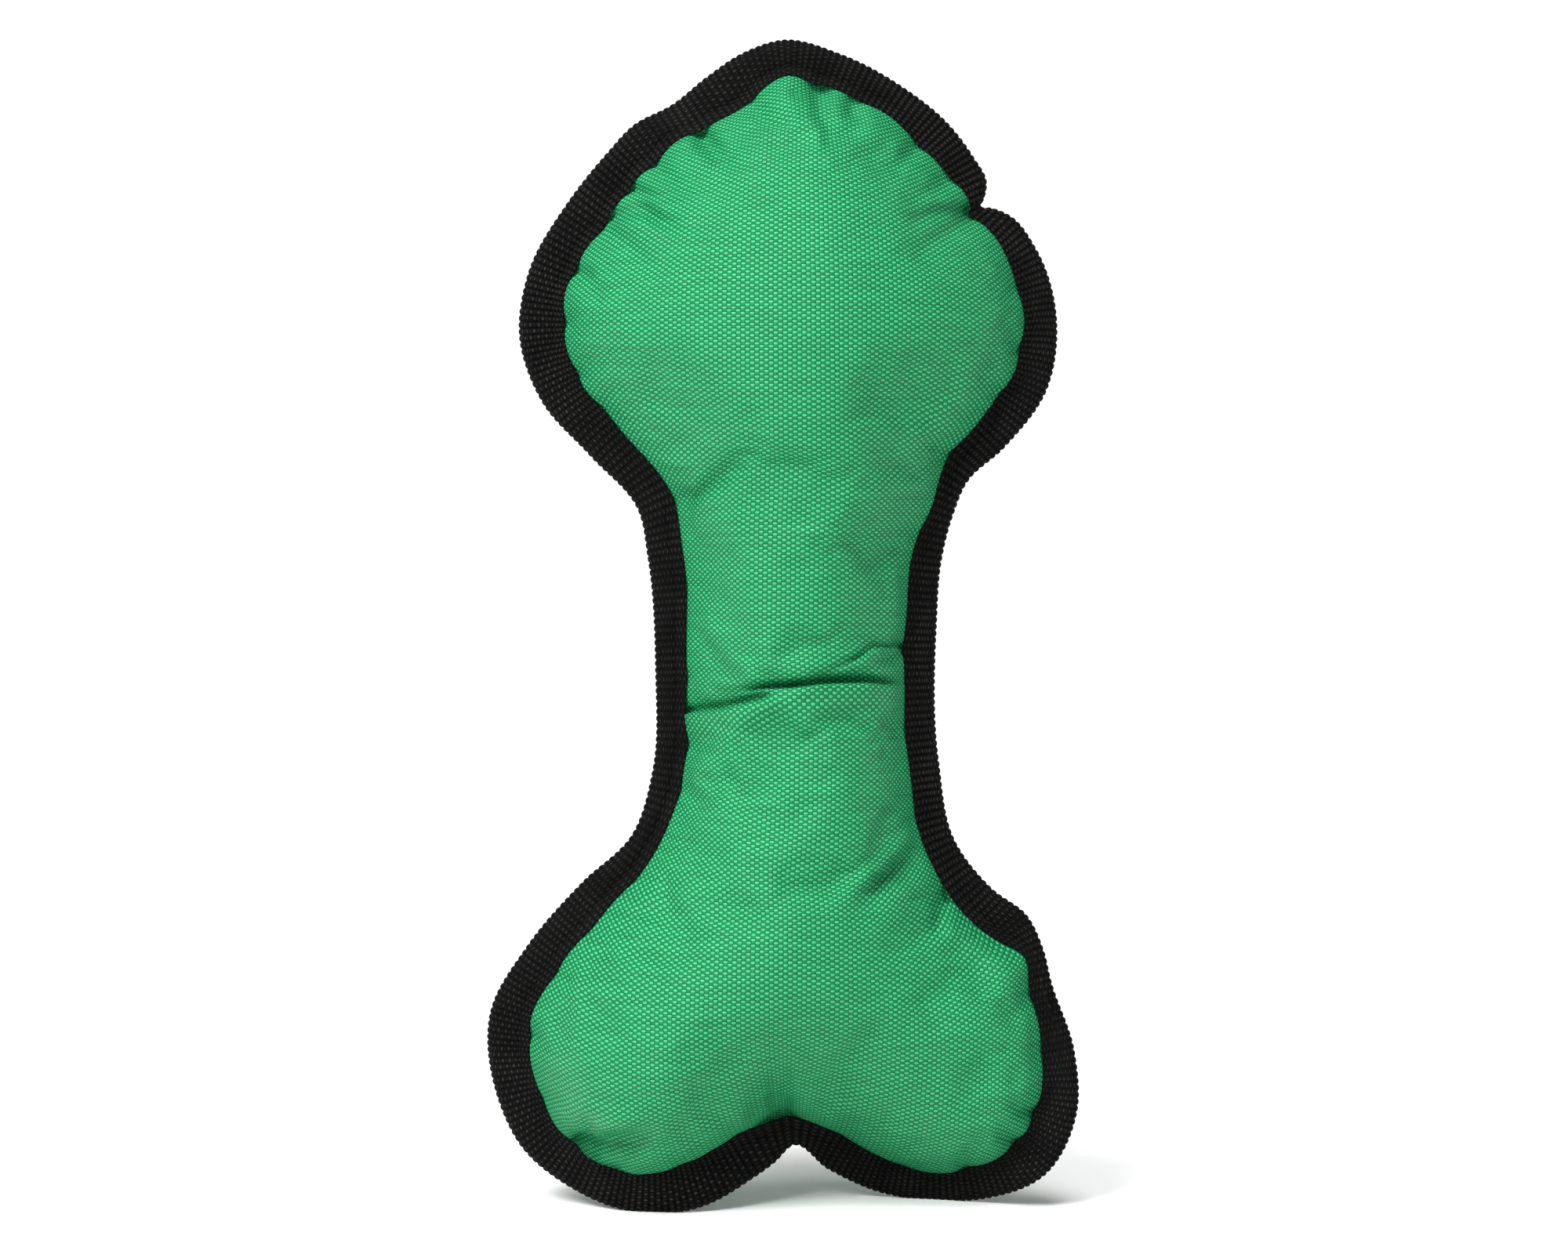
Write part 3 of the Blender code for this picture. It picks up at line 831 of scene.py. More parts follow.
@dataclass
class ClothPanels:
    """The front and back panels of Oxford cloth, stuffed tight and puckered at the seam."""

    shape: StuffedShape
    rings: int = 40
    even_share: float = 0.35      # how evenly the rings are spaced; the rest crowd near the foot
    crowding: float = 1.6
    raw_edge: float = 2.7         # distance from the outline to the panel's raw edge, in the tape
    seam_hold: float = 1.8        # the folds die out over this distance from the foot
    thickness: float = 0.5
    fill: float = 0.9
    settling: ClothSettling | None = None

    def shares(self) -> Array:
        """Shares of the way from the dome's foot to the spine, closer together near the foot."""
        step = np.linspace(0.0, 1.0, self.rings + 1)
        return self.even_share * step + (1 - self.even_share) * step**self.crowding

    def folds(self, side: Side) -> tuple[Fold, ...]:
        """The folds of one side and the valleys of the puckers, which both sides share.

        Args:
            side: front or back.

        Returns:
            The folds, placed ones first.
        """
        seam = self.shape.seam()
        valleys = self.shape.gathers.valleys(seam, self.shape.foot(seam))
        return (FRONT_FOLDS if side is Side.FRONT else BACK_FOLDS) + valleys

    def surface(self, side: Side) -> tuple[Array, Array]:
        """The panel as rings of places in space and in the flat cloth.

        A ring is the same share of the way from the seam to the spine at every station. The height
        is the dome, with the puckers' swelling dying out inwards and the folds added. The places
        then slide sideways where a ridge leans, and take the settled net's movement. The flat
        coordinates unroll the smooth dome: a place lies as far from the spine as its cloth is long.

        Args:
            side: front or back.

        Returns:
            Places (ring, station, 3) in millimetres and flat coordinates (ring, station, 2) in
            metres.
        """
        shape, seam = self.shape, self.shape.seam()
        foot, spine, reference = shape.foot(seam), shape.spine(seam), shape.reference()
        swelling, folds = shape.swelling(seam), self.folds(side)
        places, heights, smooth = [], [], []
        for share in self.shares():
            ring = foot + (spine - foot) * share
            reach = shape.distance(ring, foot) if share > 0 else np.zeros(seam.count)
            shift = swelling * np.exp(-reach / shape.gathers.swell_fade)
            shift = shift + sum(fold.shift(ring) for fold in folds)
            room = smooth_step(reach / self.seam_hold)
            smooth.append(shape.height(reach, reference))
            heights.append(np.maximum(smooth[-1] + shift * room, 0.0))
            places.append(ring)
        flat = self.unroll(np.stack(places), np.stack(smooth), spine)
        leans = [fold for fold in folds if fold.lap]
        places = [ring + sum(fold.slide(ring) for fold in leans) for ring in places]
        places, heights = np.stack(places), np.stack(heights)
        depth = side.value * (shape.cloth_face + heights)
        space = np.stack([shape.in_space(ring, row) for ring, row in zip(places, depth)])
        settling = self.settling
        if settling is not None:
            reach = shape.distance(places.reshape(-1, 2), foot).reshape(heights.shape)
            room = smooth_step(reach / settling.hold)
            room[0] = 0.0
            broad = [fold for fold in folds if min(fold.wide, fold.narrow) > settling.narrowest]
            moved = settling.settle(shape, foot, broad, side)
            space += moved.at(places) * room[..., None]
        return space, flat

    def unroll(self, places: Array, heights: Array, spine: Array) -> Array:
        """Flat coordinates: from the spine point outwards by the length of cloth in between.

        Args:
            places: rings of x and z.
            heights: the smooth dome's heights.
            spine: the spine point of each station.

        Returns:
            Flat coordinates in metres, by ring and station.
        """
        step = np.hypot(np.linalg.norm(np.diff(places, axis=0), axis=2), np.diff(heights, axis=0))
        length = np.zeros(heights.shape)
        length[:-1] = np.cumsum(step[::-1], axis=0)[::-1]
        away = unit(places[0] - spine)
        return (spine[None] + away[None] * length[..., None]) * MM

    def build(self, side: Side) -> bpy.types.Object:
        """One panel: the hidden seam allowance, the rings of the dome and the join on the spine.

        Args:
            side: front or back.

        Returns:
            The panel, with its thickness as a live modifier.
        """
        shape, seam = self.shape, self.shape.seam()
        space, flat = self.surface(side)
        allowance = shape.in_space(seam.inset(self.raw_edge), side.value * shape.cloth_face)
        spread = (seam.inset(self.raw_edge) - space[0][:, (0, 2)]) * MM
        half = seam.count // 2 + 1
        points = np.vstack((allowance, space[:-1].reshape(-1, 3), space[-1][:half]))
        coords = np.vstack((flat[0] + spread, flat[:-1].reshape(-1, 2), flat[-1][:half]))
        station = np.arange(seam.count)
        numbers = [station + seam.count * row for row in range(len(space))]
        numbers.append(seam.count * len(space) + np.minimum(station, seam.count - station))
        faces = np.vstack([ring_faces(outer, inner) for outer, inner in zip(numbers, numbers[1:])])
        if side is Side.FRONT:
            faces = faces[:, ::-1]
        name = "front_panel_cloth" if side is Side.FRONT else "back_panel_cloth"
        piece = mesh_piece(name, points, faces, coords)
        solidify = piece.modifiers.new("cloth_thickness", "SOLIDIFY")
        solidify.thickness = self.thickness * MM
        solidify.offset = -1.0
        return piece


# ---- the binding ----

@dataclass
class EdgeBinding:
    """The ribbed webbing tape, folded over the seam and stitched down beside its inner edge."""

    shape: StuffedShape
    ribs: int = 478
    steps_per_rib: int = 5
    rib_height: float = 0.36
    rib_power: float = 0.7
    rib_level: float = 0.6        # the share of a rib's height that lies under the tape's face
    outer: float = 2.1            # depth of the tape's outside where the seam lies flat
    thickness: float = 1.0
    stitch_inset: float = 2.3
    groove: float = 0.45
    groove_width: float = 0.45
    groove_room: float = 3.0      # a face narrower than this has a shallower groove
    edge_lift: float = 1.0        # the stuffed cloth pushes the inner edge up by this much
    lift_reach: float = 1.4
    hidden_inset: float = 2.4     # where the tape's hidden face comes level, from its inner edge
    lean_power: float = 1.3
    edge_steps: Row = (0.0, 0.3, 0.9, 1.6, 2.05, 2.4, 2.9, 3.8)
    middle_steps: int = 3
    turn_steps: int = 7

    def seam(self) -> Seam:
        """The seam, sampled finely enough for the ribs."""
        return self.shape.outline.trace(self.ribs * self.steps_per_rib // 2)

    def face_place(self, width: Array, reach: float) -> Array:
        """Distance from the inner edge, squeezed where the tape is narrow."""
        return reach * np.minimum(1.0, (width - self.outer) / self.edge_steps[-1])

    def face_depth(self, width: Array, reach: Array | float) -> Array:
        """Depth of the tape's face: flat, lifted at the inner edge and sunk along the stitches.

        Args:
            width: the tape's visible width.
            reach: distance from the tape's inner edge.

        Returns:
            Depths in millimetres, one per station.
        """
        lift = self.edge_lift * np.exp(-reach / self.lift_reach)
        sunk = self.groove * np.exp(-((reach - self.stitch_inset) / self.groove_width)**2)
        return self.outer + lift - sunk * np.minimum(1.0, (width - self.outer) / self.groove_room)

    def section(self, width: Array) -> list[tuple[Array | float, Array | float, float, float]]:
        """The tape's section as rows round it, from the front inner edge over the fold to the back
        and home inside, where each fold is a half circle.

        Args:
            width: the tape's visible width, one per station.

        Returns:
            For each row: inset, depth, its share of the rib height and its direction's angle.
        """
        face = [self.face_place(width, reach) for reach in self.edge_steps]
        last, parts = width - self.outer, self.middle_steps + 1
        face += [face[-1] + (last - face[-1]) * part / parts for part in range(1, parts)]
        back = [(width - reach, self.face_depth(width, reach), 1.0, 90.0) for reach in face]
        front = [(inset, -depth, share, -angle) for inset, depth, share, angle in back]
        fold = [(self.outer * (1 - math.cos(math.radians(angle))),
                 self.outer * math.sin(math.radians(angle)), 1.0, angle)
                for angle in np.linspace(-90, 90, self.turn_steps)]
        inner = self.outer - self.thickness
        lifted = self.face_depth(width, 0.0) - self.thickness
        hidden = width - self.face_place(width, self.hidden_inset)
        inside = [(width, lifted, 0.0, 90.0), (hidden, inner, 0.0, 90.0)]
        turn = [(self.outer - inner * math.cos(math.radians(angle)),
                 inner * math.sin(math.radians(angle)), 0.0, angle) for angle in (90, 0, -90)]
        home = [(inset, -depth, share, -angle) for inset, depth, share, angle in inside[::-1]]
        return front + fold + back[::-1] + inside + turn + home

    def lean(self, seam: Seam, width: Array, inset: Array) -> Array:
        """How far the tape leans forward or back: the edge's wave, less towards the inner edge."""
        share = np.clip((width - inset) / width, 0.0, 1.0)
        return self.shape.edge_wave(seam) * share**self.lean_power

    def rib_wave(self, seam: Seam) -> Array:
        """Height of the ribs round the seam: a rectified sine, one arch for each rib."""
        phase = np.arange(seam.count) / self.steps_per_rib
        return self.rib_height * (np.abs(np.sin(np.pi * phase))**self.rib_power - self.rib_level)

    def build(self) -> bpy.types.Object:
        """The tape, its section carried round the seam with the ribs standing out of its outside.
        Its flat coordinates are the length along the seam and across the section.

        Returns:
            The tape.
        """
        shape, seam = self.shape, self.seam()
        width, ribs = shape.tape_width(seam), self.rib_wave(seam)
        rows, coords, previous, across = [], [], None, np.zeros(seam.count)
        for inset, depth, share, angle in self.section(width):
            turn = math.radians(angle)
            inset = inset - ribs * share * math.cos(turn)
            depth = depth + ribs * share * math.sin(turn)
            row = shape.in_space(seam.inset(inset), depth + self.lean(seam, width, inset))
            row[:, 2] = np.maximum(row[:, 2], 0.0)
            if previous is not None:
                across = across + np.median(np.linalg.norm(row - previous, axis=1))
            rows.append(row)
            coords.append(np.stack((seam.arc, across), axis=1) * MM)
            previous = row
        faces = tube_faces(len(rows), seam.count)[:, ::-1]
        return mesh_piece("edge_binding_tape", np.vstack(rows), faces, np.vstack(coords))


@dataclass
class StitchRow:
    """One side of the lockstitch that closes the binding: short stitches lying in a groove."""

    binding: EdgeBinding
    stitch_length: float = 3.1
    radius: float = 0.24
    sunk: float = 0.1
    arch: float = 0.22            # how far a stitch's middle stands out of its ends
    gap_share: float = 0.04       # the share of a stitch's length left free at each end
    least_round: float = 0.02     # keeps the ends from shrinking to a point
    floor_gap: float = 0.4
    length_steps: int = 7
    round_steps: int = 6

    def build(self, side: Side) -> bpy.types.Object:
        """Each stitch is a spindle along the seam: its radius follows the root of a sine from end
        to end, and its middle stands a little higher than its ends.

        Args:
            side: front or back.

        Returns:
            The row of stitches.
        """
        binding, seam = self.binding, self.binding.seam()
        width = binding.shape.tape_width(seam)
        inset = width - binding.face_place(width, binding.stitch_inset)
        depth = binding.face_depth(width, width - inset) - self.sunk
        lean = binding.lean(seam, width, inset)
        line = binding.shape.in_space(seam.inset(inset), side.value * depth + lean)
        line[:, 2] = np.maximum(line[:, 2], self.floor_gap)
        count = int(seam.length / self.stitch_length)
        share = np.linspace(self.gap_share, 1 - self.gap_share, self.length_steps)
        place = (np.arange(count)[:, None] + share[None]) / count * seam.length
        arc, loop = np.r_[seam.arc, seam.length], np.vstack((line, line[:1]))
        centre = np.stack([np.interp(place, arc, loop[:, axis]) for axis in range(3)], axis=-1)
        along = unit(np.gradient(centre, axis=1))
        out = np.array((0.0, float(side.value), 0.0))
        beside = unit(np.cross(along, out))
        arch = np.sin(np.pi * (share - self.gap_share) / (1 - 2 * self.gap_share))
        radius = self.radius * np.sqrt(np.maximum(arch, self.least_round))
        turn = np.linspace(0, 2 * np.pi, self.round_steps, endpoint=False)
        ring = np.cos(turn)[:, None] * out + np.sin(turn)[:, None] * beside[:, :, None]
        points = centre[:, :, None] + ring * radius[None, :, None, None]
        points += out * (self.arch * arch)[None, :, None, None]
        one = spindle_faces(self.length_steps, self.round_steps)
        start = np.arange(count) * self.length_steps * self.round_steps
        faces = (one[None] + start[:, None, None]).reshape(-1, 4)
        name = "needle_thread_stitches" if side is Side.FRONT else "bobbin_thread_stitches"
        return mesh_piece(name, points.reshape(-1, 3), faces)


def thread_tube(path: Array, radius: float, sides: int, closed: bool) -> tuple[Array, Array]:
    """A round thread along a path: at each place a circle square to the path's mean direction.

    Args:
        path: places in millimetres, one row each.
        radius: the thread's radius.
        sides: corners of the circle, six for an open thread.
        closed: whether the last place joins the first.

    Returns:
        Points and four-sided faces.
    """
    before = np.roll(path, 1, axis=0) if closed else np.vstack((path[:1], path[:-1]))
    after = np.roll(path, -1, axis=0) if closed else np.vstack((path[1:], path[-1:]))
    along = unit(after - before)
    steep = np.abs(along[:, 1:2]) >= 0.8        # there the cloth's depth can't guide the circle
    level = np.where(steep, np.array((1.0, 0.0, 0.0)), np.array((0.0, 1.0, 0.0)))
    first = unit(np.cross(along, level))
    second = np.cross(along, first)
    turn = np.linspace(0.0, 2 * np.pi, sides, endpoint=False)[None, :, None]
    circle = np.cos(turn) * first[:, None] + np.sin(turn) * second[:, None]
    faces = (tube_faces if closed else spindle_faces)(len(path), sides)
    return (path[:, None] + radius * circle).reshape(-1, 3), faces


@dataclass
class OverlockThread:
    """The thread wound round the panels' raw edges, inside the fold of the tape."""

    shape: StuffedShape
    inset: float = 1.75
    wrap: float = 0.42
    pitch: float = 2.5
    radius: float = 0.18
    lean_share: float = 0.5       # the raw edge leans this much as far as the tape's edge
    floor_gap: float = 1.0
    steps_per_turn: int = 8
    sides: int = 6

    def build(self) -> bpy.types.Object:
        """A coil round the line of the raw edge: a small circle carried round the seam.

        Returns:
            The coil.
        """
        per_side = int(self.shape.seam().length / self.pitch) * self.steps_per_turn // 2
        seam = self.shape.outline.trace(per_side)
        turn = 2 * np.pi * np.arange(seam.count) / self.steps_per_turn
        line = seam.inset(self.inset - self.wrap * np.cos(turn))
        lean = self.lean_share * self.shape.edge_wave(seam)
        path = self.shape.in_space(line, self.wrap * np.sin(turn) + lean)
        path[:, 2] = np.maximum(path[:, 2], self.floor_gap)
        return mesh_piece("overlock_coil", *thread_tube(path, self.radius, self.sides, closed=True))


@dataclass
class EndTack:
    """The zigzag of thread that holds the tape's tucked end at the pinch."""

    binding: EdgeBinding
    place: tuple[float, float] = (48.0, 241.4)
    rows: int = 9
    step: float = 0.42
    near: float = 0.9
    far: float = 2.7
    radius: float = 0.2
    stand_off: float = 0.12       # how far the thread's middle lies outside the tape's face
    bow: float = 0.16
    lean_share: float = 0.8
    steps_per_row: int = 8
    sides: int = 6

    def build(self) -> bpy.types.Object:
        """A path that swings between two insets by a cosine while it advances along the seam, and
        is bowed outwards by half a sine on each row.

        Returns:
            The zigzag.
        """
        shape, seam = self.binding.shape, self.binding.seam()
        middle = seam.arc[np.argmin(np.linalg.norm(seam.points - np.asarray(self.place), axis=1))]
        phase = np.linspace(0.0, self.rows, self.rows * self.steps_per_row + 1)
        arc = middle + (phase - self.rows / 2) * self.step
        swing = 0.5 - 0.5 * np.cos(np.pi * phase)
        inset = self.near + (self.far - self.near) * swing
        carried = [np.interp(arc, seam.arc, column) for column in
                   (*seam.points.T, *seam.inward.T, shape.edge_wave(seam))]
        place = np.stack(carried[:2], axis=1) + np.stack(carried[2:4], axis=1) * inset[:, None]
        out = self.binding.outer + self.stand_off + self.bow * np.sin(np.pi * (phase % 1.0))
        path = shape.in_space(place, carried[4] * self.lean_share - out)
        return mesh_piece("end_tack_zigzag",
                          *thread_tube(path, self.radius, self.sides, closed=False))


@dataclass
class FibreFill:
    """The three masses of polyester fibre, each a lumpy body that fits inside the panels."""

    panels: ClothPanels
    voxel: float = 2.4
    lump: float = 0.7
    lump_size: float = 11.0
    lump_waves: tuple[Row, ...] = ((1.0, 0.0, 0.6), (0.0, -0.7, 1.0), (0.68, 1.7, 0.0))
    sink: float = 0.3             # the share of a lump's height that goes inwards
    clearance: float = 3.3
    crease_room: float = 2.5      # the fibre keeps this far off a crease on each side
    least: float = 0.4            # half the thickness of the thinnest place
    merge_gap: float = 0.01
    fill: float = 0.85

    def ceiling(self, places: Array, side: Side) -> Array:
        """How far from the middle plane the fibre may reach under one panel.

        Args:
            places: x and z in the middle plane, one row each.
            side: front or back.

        Returns:
            Millimetres, one for each place.
        """
        shape = self.panels.shape
        seam = shape.seam()
        height = shape.height(shape.distance(places, shape.foot(seam)), shape.reference())
        for fold in self.panels.folds(side):
            wider = replace(fold, wide=fold.wide + self.crease_room, ridge=0.0, fade_in=0.05,
                            narrow=fold.narrow + self.crease_room, fade_out=0.05)
            height = height + wider.shift(places)
        inside = height + shape.cloth_face - self.panels.thickness - self.clearance
        return np.maximum(inside, self.least)

    def build(self, node: str) -> bpy.types.Object:
        """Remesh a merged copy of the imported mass, swell it with the mean of three crossing sines,
        and press it in where the cloth is creased.

        Args:
            node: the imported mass's node.

        Returns:
            The fibre body.
        """
        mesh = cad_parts[node].data.copy()
        merged = bmesh.new()
        merged.from_mesh(mesh)
        bmesh.ops.remove_doubles(merged, verts=merged.verts, dist=self.merge_gap * MM)
        merged.to_mesh(mesh)
        merged.free()
        rough = add_object(node + "_rough", mesh)
        remesh = rough.modifiers.new("voxels", "REMESH")
        remesh.mode, remesh.voxel_size = "VOXEL", self.voxel * MM
        even = rough.evaluated_get(bpy.context.evaluated_depsgraph_get())
        solid = bpy.data.meshes.new_from_object(even)
        bpy.data.objects.remove(rough)
        points, normals = (read_rows(solid.vertices, name) for name in ("co", "normal"))
        points /= MM
        waves = np.sin(2 * np.pi / self.lump_size * points @ np.asarray(self.lump_waves).T)
        points += normals * (self.lump * (waves.mean(axis=1) - self.sink))[:, None]
        shape, flat = self.panels.shape, points[:, (0, 2)]
        middle = shape.sway(flat)
        front, back = self.ceiling(flat, Side.FRONT), self.ceiling(flat, Side.BACK)
        points[:, 1] = middle + np.clip(points[:, 1] - middle, -front, back)
        solid.vertices.foreach_set("co", (points * MM).ravel())
        solid.polygons.foreach_set("use_smooth", np.ones(len(solid.polygons), bool))
        solid.update()
        return add_object(node + "_fibre", solid)


# ---- finishes ----

@dataclass(frozen=True)
class WovenYarns:
    """A woven finish in the cloth's own flat coordinates, with pitches and sizes in millimetres.

    The pattern is the product of two sines, one along the cloth and one across it. Its lobes are
    the places where a yarn passes over another: the positive ones of one set, the negative ones of
    the other. Stops run from the negative lobes at 0 to the positive ones at 1.
    """

    name: str
    pitches: tuple[float, float]
    # colour stops: the yarns' own colour with a painted highlight on the floats and painted shade in
    # the gaps
    colours: tuple[tuple[float, str], ...]
    heights: tuple[tuple[float, float], ...]
    relief: float                 # between a gap and the top of a float
    patch: tuple[float, float]    # size of a patch that took the dye differently
    patch_detail: float
    patch_from: tuple[float, float]
    patch_to: tuple[float, float]
    roughness: float
    specular: float
    wander: float = 0.0           # how far the yarns stray from their grid
    wander_size: float = 18.18    # and over what length

    def level(self, tree: bpy.types.NodeTree, flat: bpy.types.Node) -> bpy.types.Node:
        """The pattern's level from 0 to 1.

        Args:
            tree: the material's node tree.
            flat: the node that gives the flat coordinates.

        Returns:
            The node whose first output is the level.
        """
        if self.wander:
            drift = add_node(tree, "TexNoise", {"Vector": flat},
                             inputs={"Scale": 1 / (self.wander_size * MM), "Detail": 2.0})
            centred = add_node(tree, "VectorMath", {0: drift.outputs["Color"]},
                               operation="SUBTRACT", inputs={1: (0.5, 0.5, 0.5)})
            small = add_node(tree, "VectorMath", {0: centred}, operation="SCALE",
                             inputs={"Scale": self.wander * MM})
            flat = add_node(tree, "VectorMath", {0: flat, 1: small}, operation="ADD")
        parts = add_node(tree, "SeparateXYZ", {0: flat})
        waves = []
        for axis, pitch in enumerate(self.pitches):
            phase = add_node(tree, "Math", {0: parts.outputs[axis]}, operation="MULTIPLY",
                             inputs={1: math.pi / (pitch * MM)})
            waves.append(add_node(tree, "Math", {0: phase}, operation="SINE"))
        weave = add_node(tree, "Math", {0: waves[0], 1: waves[1]}, operation="MULTIPLY")
        return add_node(tree, "MapRange", {"Value": weave}, inputs={"From Min": -1.0})

    def material(self) -> bpy.types.Material:
        """The pattern coloured by its level, which paints a highlight on the floats and shade in the
        gaps, shaded by cloudy patches and raised as a bump.

        Returns:
            The material.
        """
        material, tree, shader = new_material(
            self.name, {"Roughness": self.roughness, "Specular IOR Level": self.specular})
        flat = add_node(tree, "UVMap", uv_map="flat_cloth")
        level = self.level(tree, flat)
        # the ramp paints the floats lighter as a highlight and the gaps darker as shade
        colour = add_node(tree, "ValToRGB", {"Fac": level},
                          stops=[(place, linear(code)) for place, code in self.colours])
        rates = [1 / (size * MM) for size in self.patch]
        patches = add_node(tree, "Mapping", {"Vector": flat}, inputs={"Scale": (*rates, 1.0)})
        uneven = add_node(tree, "TexNoise", {"Vector": patches},
                          inputs={"Scale": 1.0, "Detail": self.patch_detail})
        shade = add_node(tree, "MapRange", {"Value": uneven.outputs["Fac"]},
                         inputs={"From Min": self.patch_from[0], "From Max": self.patch_from[1],
                                 "To Min": self.patch_to[0], "To Max": self.patch_to[1]})
        dyed_colour_and_painted_light = add_node(tree, "VectorMath", {0: colour, "Scale": shade}, operation="SCALE")
        lift = add_node(tree, "ValToRGB", {"Fac": level},
                        stops=[(place, grey(height)) for place, height in self.heights])
        bump = add_node(tree, "Bump", {"Height": lift},
                        inputs={"Strength": 1.0, "Distance": self.relief * MM})
        link_into(shader, {"Base Color": dyed_colour_and_painted_light, "Normal": bump})
        return material


# Polyester Oxford, plain woven from flat filament yarns and piece dyed green. The eye sees bright
# weft floats in a staggered grid, each a little satin lozenge, with deep green gaps between them.
# The colour stops paint light over the yarns' own green: the weft floats are painted lighter and
# whiter as a highlight, the warp floats darker, and the gaps darkest as painted shade between the
# yarns.
OXFORD_CLOTH = WovenYarns(
    "woven_polyester_oxford", pitches=(1.08, 0.634),
    colours=((0.0, "#0a683b"), (0.38, "#0a683b"), (0.5, "#01502a"), (0.6, "#3a9f6b"),
             (1.0, "#3a9f6b")),
    heights=((0.0, 0.55), (0.5, 0.0), (0.66, 0.7), (1.0, 1.0)),
    relief=0.28, patch=(12.5, 1.268), patch_detail=1.0, patch_from=(0.3, 0.7),
    patch_to=(0.9, 1.08), roughness=0.42, specular=0.12, wander=0.45)

# Black polyester webbing, woven with thick ribs across the tape and fine warps over them. The eye
# sees rows of small light dots on each rib, where a warp passes over it, in a deep black. The colour
# stops paint these dots lighter as a highlight where the warps catch the light, and the gaps between
# them a deeper black as painted shade; the tape's own colour is the black.
WEBBING_TAPE = WovenYarns(
    "woven_polyester_webbing", pitches=(1.67, 0.525),
    colours=((0.0, "#0f0f0e"), (0.45, "#020202"), (0.6, "#020202"), (0.8, "#0f0f0e"),
             (1.0, "#2b2b28")),
    heights=((0.0, 0.35), (0.5, 0.0), (0.75, 0.9), (1.0, 1.0)),
    relief=0.12, patch=(7.692, 7.692), patch_detail=3.0, patch_from=(0.35, 0.65),
    patch_to=(0.6, 1.25), roughness=0.7, specular=0.05)


@dataclass(frozen=True)
class SewingThread:
    """Bonded polyester thread, twisted and dyed black: a faint slanted ripple and a dull gleam."""

    colour: str = "#060606"
    ripple: float = 7.54          # the real twist, 0.6 mm, is too fine to show: drawn this coarse
    wave_rate: float = 10.0       # radians to the metre in a wave texture at scale 1

    def material(self) -> bpy.types.Material:
        """Thread whose twist is a slanted wave in the object's own space.

        Returns:
            The material.
        """
        material, tree, shader = new_material(
            "bonded_polyester_thread",
            {"Base Color": linear(self.colour), "Roughness": 0.6, "Specular IOR Level": 0.08})
        twist = add_node(tree, "TexWave", {"Vector": add_node(tree, "TexCoord").outputs["Object"]},
                         bands_direction="DIAGONAL",
                         inputs={"Scale": 2 * math.pi / (self.ripple * MM) / self.wave_rate,
                                 "Distortion": 1.0})
        bump = add_node(tree, "Bump", {"Height": twist.outputs["Fac"]},
                        inputs={"Strength": 0.6, "Distance": 0.05 * MM})
        link_into(shader, {"Normal": bump})
        return material


@dataclass(frozen=True)
class CloudyFinish:
    """A finish without a weave: a cloudy or streaky change between two shades, and a fine bump.

    Each size is that of a patch along the three axes, in millimetres.
    """

    name: str
    shades: tuple[tuple[float, str], ...]
    cloud: Row
    ripple: Row
    detail: float
    strength: float
    relief: float
    roughness: float
    distortion: float = 0.0
    sheen: float = 0.0

    def material(self) -> bpy.types.Material:
        """One noise in the object's own space chooses the shade, and one is the bump; they are the
        same noise where their sizes are.

        Returns:
            The material.
        """
        material, tree, shader = new_material(
            self.name, {"Roughness": self.roughness, "Sheen Weight": self.sheen})
        place = add_node(tree, "TexCoord").outputs["Object"]
        sizes = [(self.cloud, self.detail), (self.ripple, 2.0)]
        noises = []
        for size, detail in sizes[:1 if self.ripple == self.cloud else 2]:
            scaled = add_node(tree, "Mapping", {"Vector": place},
                              inputs={"Scale": [1 / (length * MM) for length in size]})
            noises.append(add_node(
                tree, "TexNoise", {"Vector": scaled},
                inputs={"Scale": 1.0, "Detail": detail, "Distortion": self.distortion}))
        colour = add_node(tree, "ValToRGB", {"Fac": noises[0].outputs["Fac"]},
                          stops=[(level, linear(code)) for level, code in self.shades])
        bump = add_node(tree, "Bump", {"Height": noises[-1].outputs["Fac"]},
                        inputs={"Strength": self.strength, "Distance": self.relief * MM})
        link_into(shader, {"Base Color": colour, "Normal": bump})
        return material


# Carded hollow polyester fibre: the eye sees a soft white mass with fine tangled strands.
FIBREFILL = CloudyFinish(
    "carded_polyester_fibre", ((0.35, "#c9c7c0"), (0.6, "#eceae4")), cloud=(1.11, 1.11, 4.55),
    ripple=(1.11, 1.11, 4.55), detail=4.0, strength=0.8, relief=0.4, roughness=0.95,
    distortion=2.5, sheen=0.3)
# Blow-moulded vinyl: the eye sees a dull skin with faint orange peel and a cloudy cream colour.
VINYL = CloudyFinish(
    "blow_moulded_vinyl", ((0.3, "#d8d2c2"), (0.62, "#e9e4d6")), cloud=(5.56, 5.56, 5.56),
    ripple=(0.714, 0.714, 0.714), detail=3.0, strength=0.3, relief=0.05, roughness=0.45)
# Injection-moulded plastic: the same skin, whiter and a little glossier.
HARD_PLASTIC = replace(VINYL, name="injection_moulded_plastic", roughness=0.35,
                       shades=((0.3, "#e4e2da"), (0.62, "#f2f1ec")))


